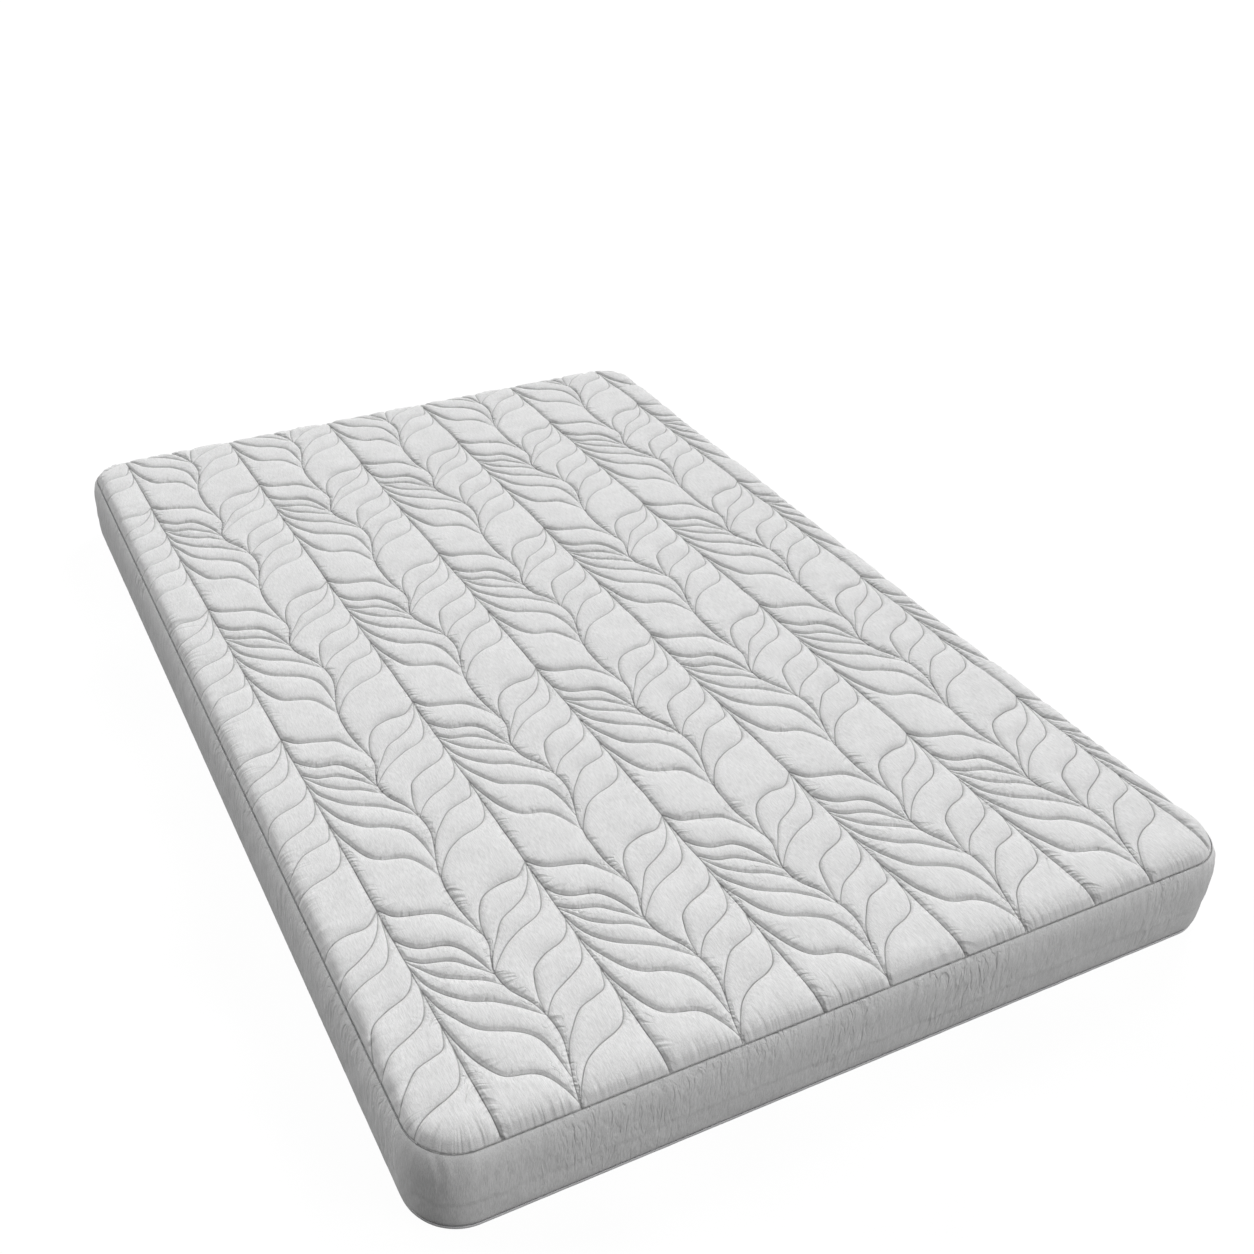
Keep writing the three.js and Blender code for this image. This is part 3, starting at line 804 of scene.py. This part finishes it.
upper_tape = build_tape("zip_tape_upper", "upper_zip_tape", True)
lower_tape = build_tape("zip_tape_lower", "lower_zip_tape", False, BASE_LEAN)
upper_coil = build_coil("zip_coil_upper", "upper_zip_coil", 0)
lower_coil = build_coil("zip_coil_lower", "lower_zip_coil", math.pi)
print("coil faces:", len(upper_coil.data.polygons))

# %% [markdown]
# ## The layers inside
# The padding behind the border and the binding over the top seam are strips too. The batting, the
# foams, the wadding, the backing, the base cloth and the fire sock are slabs: two rounded grids and
# a side that joins their rims. The strips and the sides of the filling follow the border: in a
# little at the foot, upright, and in again below the top seam.

# %% Slabs
SLAB_STEP = 24 * MM
FOOT_INSET = 3 * MM
FOOT_CURVE_HEIGHT = 65 * MM
LINING_DEPTH = 1.5 * MM
SOCK_DEPTH = 9.5 * MM
SOCK_THICKNESS = 0.8 * MM
FILLING_DEPTH = 10.6 * MM
SIDE_STEP = 12 * MM
FOLLOW_REACH = 80 * MM
BASE_TUCK = BASE_LEAN + 1 * MM


def wall_inset(height):
    """Inset of the border's plain face at a height."""
    foot = np.clip(1 - (height - foot_z) / FOOT_CURVE_HEIGHT, 0, 1)
    shoulder = np.clip(1 - (seam_z - height) / SHOULDER_HEIGHT, 0, 1)
    return FOOT_INSET * foot ** 2 + seam_inset * shoulder ** 2


def rim_of(rows, columns):
    """Point numbers round the rim of a grid, anticlockwise."""
    front = np.arange(columns)
    right = columns * np.arange(1, rows) + columns - 1
    back = (rows - 1) * columns + np.arange(columns - 1)[::-1]
    left = columns * np.arange(1, rows - 1)[::-1]
    return np.concatenate([front, right, back, left])


def slab_points(inset, heights, round_edge, step, follows=False):
    """Points and faces of a closed slab: its underside, its top, then rows down its side."""
    half_x, half_y = half_width - inset, half_length - inset
    radius = max(plan_radius - inset, 10 * MM)
    steps = [0, round_edge * 0.3, round_edge, round_edge * 2.2]
    lines_x, lines_y = edge_lines(half_x, steps, step), edge_lines(half_y, steps, step)
    x, y = np.meshgrid(lines_x, lines_y)
    shape = x.shape
    x, y = bend_corners(x.ravel(), y.ravel(), half_x, half_y, radius)
    depth = depth_inside(x, y, half_x, half_y, radius)[0]
    corner = 1 - np.sqrt(1 - (1 - np.clip(depth / round_edge, 0, 1)) ** 2)
    low, high = heights(x, y, depth)
    low, high = low + corner * round_edge, high - corner * round_edge
    plan = grid_faces(*shape)
    count = len(x)
    rim = rim_of(*shape)
    points = [np.column_stack([x, y, low]), np.column_stack([x, y, high])]
    rows = [rim]
    levels = max(1, round(float(np.mean(high[rim] - low[rim])) / SIDE_STEP))
    for level in range(1, levels):
        rows.append(2 * count + (level - 1) * len(rim) + np.arange(len(rim)))
        points.append(points[0][rim] + (points[1][rim] - points[0][rim]) * level / levels)
    rows.append(rim + count)
    faces = [plan[:, ::-1], plan + count]
    for row, above in zip(rows, rows[1:]):
        faces.append(np.column_stack([row, np.roll(row, -1), np.roll(above, -1), above]))
    points = np.vstack(points)
    if follows:
        near, nx, ny = depth_inside(*points[:, :2].T, half_x, half_y, radius)
        pull = wall_inset(points[:, 2]) * np.clip(1 - near / FOLLOW_REACH, 0, 1)
        points[:, 0] -= nx * pull
        points[:, 1] -= ny * pull
    return points, np.vstack(faces)


def slab_piece(name, layer, round_edge=2 * MM, swell=0.0, seed=1, step=SLAB_STEP, domed=False, depth=None,
               tucked=0.0):
    """A slab in the place of a layer, with slow swells on its faces.

    A domed slab follows the crown. A slab with a depth keeps that distance inside the border's face.
    """
    low, high = layer_box(layer)

    def heights(x, y, depth):
        soft = swell * unevenness(x, y, seed, (0.3, 0.14)) * np.clip(depth / 0.03, 0, 1)
        top = high.z - abs(swell) + soft
        if domed:
            top = high.z - UNDERSIDE_DROP - (crown_z - seam_z) + crown(x, y)
        return low.z + abs(swell) + soft, top

    inset = half_width - high.x + tucked if depth is None else depth
    return make_mesh(name, *slab_points(inset, heights, round_edge, step, depth is not None))


def build_sock():
    """The fire sock: a thin closed skin round the core, one surface inside the other."""
    low, high = layer_box("fire_sock")

    def skin(inset, round_edge):
        def heights(x, y, depth):
            return low.z + inset + 0 * x, high.z - inset + 0 * x

        return slab_points(SOCK_DEPTH + inset, heights, round_edge, SLAB_STEP, True)

    points, faces = skin(0, 3 * MM)
    inside, inside_faces = skin(SOCK_THICKNESS, 2.2 * MM)
    faces = np.vstack([faces, inside_faces[:, ::-1] + len(points)])
    return make_mesh("fire_barrier_sock", np.vstack([points, inside]), faces)


def strip_piece(name, layer, thick, spare=0.0):
    """A plain strip behind the cover, at the heights of its layer; spare is left free at its top."""
    low, high = layer_box(layer)
    levels = np.linspace(low.z, high.z - spare, 9)
    outer = [(float(wall_inset(height)) + LINING_DEPTH, height) for height in levels]
    inner = [(inset + thick, height) for inset, height in outer[::-2]]
    return ring_piece(name, even_ring(SIDE_STEP), outer + inner)


border_padding = strip_piece("border_padding_strip", "border_padding", 7 * MM)
binding = strip_piece("seam_binding_tape", "seam_binding", 2 * MM, 3.5 * MM)
wadding = slab_piece("quilting_wadding", "quilt_wadding", 4 * MM, domed=True, step=16 * MM)
backing = slab_piece("quilting_backing", "quilt_backing", 0.2 * MM)
top_batting = slab_piece("top_fibre_batting", "top_batting", 4 * MM, 0.5 * MM, 71, depth=FILLING_DEPTH)
comfort_foam = slab_piece("soft_foam_layer", "comfort_foam", 1.5 * MM, depth=FILLING_DEPTH)
core_foam = slab_piece("firm_foam_core", "core_foam", 1.5 * MM, depth=FILLING_DEPTH)
base_batting = slab_piece("base_fibre_batting", "base_batting", 4 * MM, 0.5 * MM, 73, depth=FILLING_DEPTH)
base_cloth = slab_piece("base_cover_cloth", "base_cloth", 0.4 * MM, tucked=BASE_TUCK)
sock = build_sock()
print("sock faces:", len(sock.data.polygons))

# %% [markdown]
# ## Materials
# Each finish is a small node tree. `Finish` keeps the writing short: it makes the nodes, wires them
# and sets the constants straight on the shader.

# %% A helper for finishes
class Finish:
    """A material under construction."""

    def __init__(self, name, roughness=0.9, **constants):
        self.material = bpy.data.materials.new(name)
        self.material.use_nodes = True
        self.tree = self.material.node_tree
        self.shader = self.tree.nodes["Principled BSDF"]
        self.put(self.shader, {"Roughness": roughness})
        self.put(self.shader, {socket.replace("_", " "): value for socket, value in constants.items()})

    def put(self, node, inputs):
        """Wires each input of a node, or sets it when the value is a constant."""
        for socket, value in inputs.items():
            if isinstance(value, bpy.types.NodeSocket):
                self.tree.links.new(value, node.inputs[socket])
            else:
                node.inputs[socket].default_value = value
        return node

    def node(self, kind, inputs=None, **settings):
        made = self.tree.nodes.new(f"ShaderNode{kind}")
        for key, value in settings.items():
            setattr(made, key, value)
        return self.put(made, inputs or {})

    def scaled(self, place, scale):
        """Coordinates times one number, or one for each direction."""
        scale = scale if isinstance(scale, tuple) else (scale,) * 3
        return self.node("Mapping", {"Vector": place, "Scale": scale}).outputs["Vector"]

    def cloth_place(self, scale):
        """The piece's own cloth coordinates, in metres, scaled to a pattern's size."""
        return self.scaled(self.node("UVMap", uv_map="cloth").outputs["UV"], scale)

    def object_place(self, scale):
        return self.scaled(self.node("TexCoord").outputs["Object"], scale)

    def attribute(self, name, output="Fac"):
        return self.node("Attribute", attribute_name=name).outputs[output]

    def noise(self, place, detail=2.0, roughness=0.5, distortion=0.0):
        values = {"Vector": place, "Scale": 1.0, "Detail": detail, "Roughness": roughness}
        values["Distortion"] = distortion
        return self.node("TexNoise", values).outputs["Fac"]

    def ramp(self, factor, *stops):
        """A colour ramp; each stop is a position and a grey or a colour."""
        made = self.node("ValToRGB", {"Fac": factor})
        for element, (position, colour) in zip(made.color_ramp.elements, stops):
            colour = (colour,) * 3 if isinstance(colour, float) else colour
            element.position = position
            element.color = (*colour, 1)
        return made.outputs["Color"]

    def spread(self, value, low, high, at_low, at_high):
        """Maps the range from low to high onto another, and holds it beyond."""
        values = {"Value": value, "From Min": low, "From Max": high, "To Min": at_low, "To Max": at_high}
        return self.node("MapRange", values).outputs["Result"]

    def maths(self, operation, value, *others):
        for other in others:
            value = self.node("Math", {0: value, 1: other}, operation=operation).outputs[0]
        return value

    def product(self, *values):
        return self.maths("MULTIPLY", *values)

    def darkened(self, tone, shade, share=1.0):
        """A colour multiplied by another one, wholly or in part."""
        inputs = {0: share, 6: tone, 7: shade}
        return self.node("Mix", inputs, data_type="RGBA", blend_type="MULTIPLY").outputs[2]

    def colour(self, tone):
        self.put(self.shader, {"Base Color": tone})

    def bump(self, height, depth, below=None):
        """A bump of some depth, over the one below if there is one; returns the normal."""
        under = {} if below is None else {"Normal": below}
        made = self.node("Bump", {"Height": height, "Distance": depth, "Strength": 1.0, **under})
        self.put(self.shader, {"Normal": made.outputs["Normal"]})
        return made.outputs["Normal"]


def dress(piece, finish):
    """Gives a piece its finish."""
    piece.data.materials.clear()
    piece.data.materials.append(finish.material)


# %% [markdown]
# ## The cover's knit
# The cloth is a heathered grey and white knit: mixed yarns run as short pale and dark flecks over a fine
# grain of loops. The same recipe serves the panel and the border, but the border's knit is toned a little
# lighter, which is painted light. The thread lines and the top seam are darkened with painted shade.
# Puckers are creases that start at a seam and run away from it: they read the nearest point of the seam, so
# that one crease keeps its line, and fade with the distance. Some are long and some short.

# %% Cover cloth
def puckers(finish, seam_place, distance, spacing, shortest, longest, slant=0.0):
    """Creases across a seam, between 0 and 1; spacing and lengths in metres."""
    drift = finish.node("CombineXYZ", {"Y": finish.product(distance, slant)}).outputs[0]
    seam_place = finish.node("VectorMath", {0: seam_place, 1: drift}, operation="ADD").outputs[0]

    def read(size, shift):
        moved = finish.node("Mapping", {"Vector": seam_place, "Location": (shift, 0, 0)})
        return finish.noise(finish.scaled(moved.outputs[0], 1 / size), 1.0)

    crease = finish.spread(read(spacing, 0.0), 0.42, 0.62, 0.0, 1.0)
    reach = finish.spread(read(2.2 * spacing, 3.0), 0.38, 0.68, shortest, longest)
    fade = finish.maths("SUBTRACT", 1.0, finish.maths("DIVIDE", distance, reach))
    return finish.product(crease, finish.spread(fade, 0.0, 0.8, 0.0, 1.0))


def knit(name, light, dark, stretch):
    """The finish of the knit, its tone and its fine normal; stretch gives the size of the flecks."""
    finish = Finish(name, 0.92, Sheen_Weight=0.15, Sheen_Roughness=0.5)
    place = finish.attribute("place", "Vector")
    flecks = finish.noise(finish.scaled(place, stretch), 3.0, 0.65)
    loops = finish.noise(finish.scaled(place, 900), 2.0, 0.7)
    clouds = finish.noise(finish.scaled(place, 14))
    tone = finish.ramp(flecks, (0.36, dark), (0.64, light))
    tone = finish.darkened(tone, finish.ramp(loops, (0.3, 0.86), (0.7, 1.0)), 0.7)
    tone = finish.darkened(tone, finish.ramp(clouds, (0.3, 0.96), (0.7, 1.0)))
    height = finish.maths("ADD", loops, finish.product(flecks, 1.2))
    return finish, tone, finish.bump(height, KNIT_DEPTH)


def panel_finish():
    """Knit with thread lines darkened by the thread and by painted groove shade, painted shade along the
    top seam, ticks across the threads and runs in from the top seam.
    """
    finish, tone, normal = knit("quilted_knit", 0.765, 0.61, (1 / 0.0012, 1 / 0.013, 1 / 0.0012))
    distance, pull, edge = (finish.attribute(name) for name in ("stitch", "pull", "edge"))
    foot, edge_foot = (finish.attribute(name, "Vector") for name in ("stitch_place", "edge_place"))
    # painted shade: the thread lines are darkened past the thread's own colour, most where a line pulls
    # hard, in place of the shade in its groove
    darkest_thread_and_shade = finish.spread(pull, 0.1, 0.8, 0.56, 0.40)
    tone = finish.darkened(tone, finish.spread(distance, 0.0002, 0.0013, darkest_thread_and_shade, 1.0))
    # painted shade: a dark line along the panel's edge, where it tucks into the top seam
    finish.colour(finish.darkened(tone, finish.spread(edge, 0.0003, 0.0018, 0.5, 1.0)))
    patches = finish.spread(finish.noise(finish.scaled(foot, 11)), 0.38, 0.6, 0.5, 1.5)
    ticks = puckers(finish, foot, distance, 0.0085, 0.006, 0.026, 0.6)
    ticks = finish.product(ticks, pull, patches)
    groups = finish.spread(finish.noise(finish.scaled(edge_foot, 5), 1.0), 0.42, 0.58, 0.08, 0.75)
    runs = finish.product(puckers(finish, edge_foot, edge, 0.008, 0.008, 0.065), groups)
    groove = finish.spread(distance, 0.0, 0.0048, 1.0, 0.0)
    groove = finish.product(groove, finish.spread(pull, 0.1, 0.5, 0.25, 1.15))
    creases = finish.maths("ADD", ticks, runs, groove)
    finish.bump(finish.product(creases, -1.0), PUCKER_DEPTH, normal)
    return finish


def border_finish():
    """Knit with painted shade along the top seam, and upright crinkles, deeper near the top seam and few
    where the cloth is drawn tight.
    """
    # painted light: the border's knit is toned a little lighter than the same knit on the panel, to
    # brighten the border's sides
    finish, tone, normal = knit("border_knit", 0.78, 0.635, (1 / 0.0012, 1 / 0.0012, 1 / 0.010))
    place = finish.attribute("place", "Vector")
    drop = finish.attribute("drop")
    # painted shade: a dark line along the border's top, where it meets the top seam
    finish.colour(finish.darkened(tone, finish.spread(drop, 0.0003, 0.0014, 0.5, 1.0)))
    streaks = finish.noise(finish.scaled(place, (110, 110, 24)), 2.0, 0.55, 0.7)
    streaks = finish.spread(streaks, 0.45, 0.66, 0.0, 1.0)
    patches = finish.spread(finish.noise(finish.scaled(place, (7, 7, 4)), 1.0), 0.40, 0.6, 0.35, 1.0)
    near = finish.spread(drop, 0.0, 0.12, 0.85, 0.28)
    creases = finish.product(streaks, near, finish.attribute("slack"), patches)
    finish.bump(finish.product(creases, -1.0), PUCKER_DEPTH, normal)
    return finish


KNIT_DEPTH = 0.22 * MM
PUCKER_DEPTH = 2.0 * MM
SLACK_RUN = 80 * MM
border_x, border_y, border_z = np.array([v.co for v in border.data.vertices]).T
set_attribute(border, "drop", seam_z - border_z)
# the cloth is drawn tight round the corners and has few crinkles there
into_corner = np.minimum(abs(border_x) - flat_x, abs(border_y) - flat_y)
set_attribute(border, "slack", np.clip(0.35 - into_corner / SLACK_RUN, 0.12, 1))
dress(panel, panel_finish())
dress(border, border_finish())
print("cover cloth done")

# %% [markdown]
# ## The other finishes
# Woven tape has fine ribs, the coil is smooth nylon, batting is a cloudy mat of fibres, foam shows
# its open cells, and the slider is cast metal with a soft satin face.

# %% Tapes, fibres, foams and metal
def dim(tone, share):
    return tuple(share * part for part in tone)


def woven(name, tone, pitch, depth=0.2 * MM):
    finish = Finish(name, 0.8, Sheen_Weight=0.1)
    values = {"Vector": finish.cloth_place(1), "Scale": 1 / pitch / WAVE_SCALE, "Distortion": 0.3}
    ribs, cross = (
        finish.node("TexWave", values, bands_direction=way).outputs["Fac"] for way in "XY"
    )
    weave = finish.maths("MAXIMUM", ribs, cross)
    fuzz = finish.noise(finish.cloth_place(500))
    shade = finish.ramp(weave, (0.0, dim(tone, 0.75)), (1.0, tone))
    finish.colour(finish.darkened(shade, finish.ramp(fuzz, (0.3, 0.8), (0.7, 1.0)), 0.3))
    finish.bump(weave, depth)
    return finish


def fibres(name, tone, size=0.004):
    finish = Finish(name, 0.95, Sheen_Weight=0.3)
    strands = finish.noise(finish.object_place((1 / size, 0.3 / size, 1 / size)), 5.0, 0.7)
    clumps = finish.noise(finish.object_place((25, 25, 60)))
    shade = finish.ramp(strands, (0.3, dim(tone, 0.8)), (0.7, tone))
    finish.colour(finish.darkened(shade, finish.ramp(clumps, (0.3, 0.8), (0.7, 1.0)), 0.5))
    finish.bump(strands, 1 * MM)
    return finish


def open_foam(name, tone, cell=0.0016):
    finish = Finish(name, 0.85)
    place = finish.object_place(1 / cell)
    cells = finish.node("TexVoronoi", {"Vector": place, "Scale": 1.0}).outputs["Distance"]
    clouds = finish.noise(finish.object_place(8))
    shade = finish.ramp(cells, (0.1, tone), (0.7, dim(tone, 0.72)))
    finish.colour(finish.darkened(shade, finish.ramp(clouds, (0.3, 0.85), (0.7, 1.0)), 0.5))
    finish.bump(cells, 0.5 * MM)
    return finish


def metal(name, tone):
    finish = Finish(name, 0.35, Metallic=1.0)
    grain = finish.noise(finish.object_place(900), 3.0)
    worn = finish.noise(finish.object_place(150), 3.0)
    finish.colour(finish.ramp(worn, (0.35, dim(tone, 0.8)), (0.65, tone)))
    finish.put(finish.shader, {"Roughness": finish.ramp(grain, (0.3, 0.28), (0.7, 0.45))})
    finish.bump(grain, 0.03 * MM)
    return finish


WAVE_SCALE = 6.28
ZIP_FITTINGS = ("zip_slider", "zip_pull_tab", "zip_top_stop_upper", "zip_top_stop_lower", "zip_bottom_stop")
fittings = [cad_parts[name] for name in ZIP_FITTINGS]
for finish, *pieces in (
    (woven("zip_tape_weave", (0.72, 0.72, 0.73), 0.0012), upper_tape, lower_tape),
    # painted shade: the coil's near-black tone is partly its own colour and partly stands in for the shade
    # in the gap under the border's hem
    (woven("zip_coil_nylon", (0.20, 0.20, 0.21), 0.003, 0.1 * MM), upper_coil, lower_coil),
    (woven("base_cloth_weave", (0.60, 0.60, 0.61), 0.0018), base_cloth),
    (woven("binding_weave", (0.66, 0.66, 0.67), 0.0015), binding),
    (fibres("bonded_backing", (0.80, 0.80, 0.79), 0.006), backing),
    (fibres("wadding_fibre", (0.86, 0.86, 0.85)), wadding, border_padding),
    (fibres("cotton_batting", (0.78, 0.76, 0.71), 0.005), top_batting, base_batting),
    (woven("fire_sock_knit", (0.78, 0.77, 0.72), 0.0020), sock),
    (open_foam("firm_foam", (0.72, 0.70, 0.58)), core_foam),
    (open_foam("soft_foam", (0.80, 0.79, 0.74), 0.0012), comfort_foam),
    (metal("zip_metal_finish", (0.62, 0.62, 0.64)), *fittings),
):
    for piece in pieces:
        dress(piece, finish)
print("materials:", len(bpy.data.materials))

# %% [markdown]
# ## Which piece stands for which
# Each layer is two halves in the frame, because the fold turns one against the other. The real layer is one
# piece, so it replaces both halves.


for piece, layer, slot, *more_nodes in (
    (panel, "face_fabric", "quilted_face"),
    (border, "border_fabric", "border_fabric"),
    (border_padding, "border_padding", "fibre_wadding"),
    (binding, "seam_binding", "binding_tape"),
    (wadding, "quilt_wadding", "fibre_wadding"),
    (backing, "quilt_backing", "nonwoven_backing"),
    (top_batting, "top_batting", "fibre_wadding"),
    (comfort_foam, "comfort_foam", "comfort_foam"),
    (core_foam, "core_foam", "core_foam"),
    (base_batting, "base_batting", "fibre_wadding"),
    (base_cloth, "base_cloth", "base_cloth"),
    (sock, "fire_sock", "fire_sock"),
    (upper_tape, "upper_zip_tape", "zip_tape"),
    (lower_tape, "lower_zip_tape", "zip_tape"),
    (upper_coil, "upper_zip_coil", "zip_coil", "upper_zip_coil_start"),
    (lower_coil, "lower_zip_coil", "zip_coil", "lower_zip_coil_start"),
):
    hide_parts(*[f"{layer}_{half}" for half in HALVES], *more_nodes)
    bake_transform(piece)


print("pieces settled")

# %% [markdown]
# ## Floor and light
# A pale seamless floor, drawn flat and bright, lies over a plain one that only sends light back up.
# The key light stands behind on the right, low enough to rake across the quilting. Two lower ones
# at the far end and behind on the left widen it, a wide one on the right of the front lights the
# border, and a weak one high over the near corner fills in. The surround is an even dim sky.

# %% Studio
SKY_STRENGTH = 0.05
FLOOR_GLOW = 0.03
FLOOR_SIZE = 60
LIGHT_DISTANCE = 8
# bearing and height in degrees, strength, and how wide the light looks in degrees
LIGHTS = {
    "key_light": (36, 36, 1.9, 22),
    "side_light": (90, 20, 1.0, 26),
    "front_light": (315, 34, 1.7, 36),
    "back_light": (135, 20, 1.1, 36),
    "near_light": (225, 60, 0.62, 36),
}


def build_floor(name, level, grey, glow):
    """A wide plain floor that glows a little."""
    bpy.ops.mesh.primitive_plane_add(size=FLOOR_SIZE, location=(0, 0, level))
    floor = bpy.context.active_object
    floor.name = name
    finish = Finish(f"{name}_finish", 1.0, Emission_Color=(1, 1, 1, 1), Emission_Strength=glow)
    speckle = finish.noise(finish.object_place(3))
    finish.colour(finish.ramp(speckle, (0.3, grey), (0.7, grey + 0.02)))
    dress(floor, finish)
    return floor


def build_sky():
    world = bpy.data.worlds.new("studio_sky")
    bpy.context.scene.world = world
    world.use_nodes = True
    nodes, links = world.node_tree.nodes, world.node_tree.links
    # what shows behind the floor stays white
    seen = nodes.new("ShaderNodeLightPath").outputs["Is Camera Ray"]
    shown = nodes.new("ShaderNodeMath")
    shown.operation = "MAXIMUM"
    shown.inputs[0].default_value = SKY_STRENGTH
    links.new(seen, shown.inputs[1])
    nodes["Background"].inputs["Color"].default_value = (1, 1, 1, 1)
    links.new(shown.outputs[0], nodes["Background"].inputs["Strength"])


def build_light(name, bearing, height, strength, width):
    data = bpy.data.lights.new(name, "SUN")
    data.energy = strength
    data.angle = math.radians(width)
    light = bpy.data.objects.new(name, data)
    bpy.context.scene.collection.objects.link(light)
    around, up = math.radians(bearing), math.radians(height)
    flat = math.cos(up)
    towards = Vector((flat * math.cos(around), flat * math.sin(around), math.sin(up)))
    light.location = LIGHT_DISTANCE * towards
    light.rotation_euler = towards.to_track_quat("Z", "Y").to_euler()


seen_floor = build_floor("studio_floor", -0.2 * MM, 0.02, 0.96)
seen_floor.visible_diffuse = False
seen_floor.visible_glossy = False
seen_floor.visible_shadow = False
lower_floor = build_floor("studio_floor_below", -1 * MM, 0.12, FLOOR_GLOW)
lower_floor.visible_camera = False
build_sky()
for name, (bearing, height, strength, width) in LIGHTS.items():
    build_light(name, bearing, height, strength, width)
print("lights:", len(bpy.data.lights))
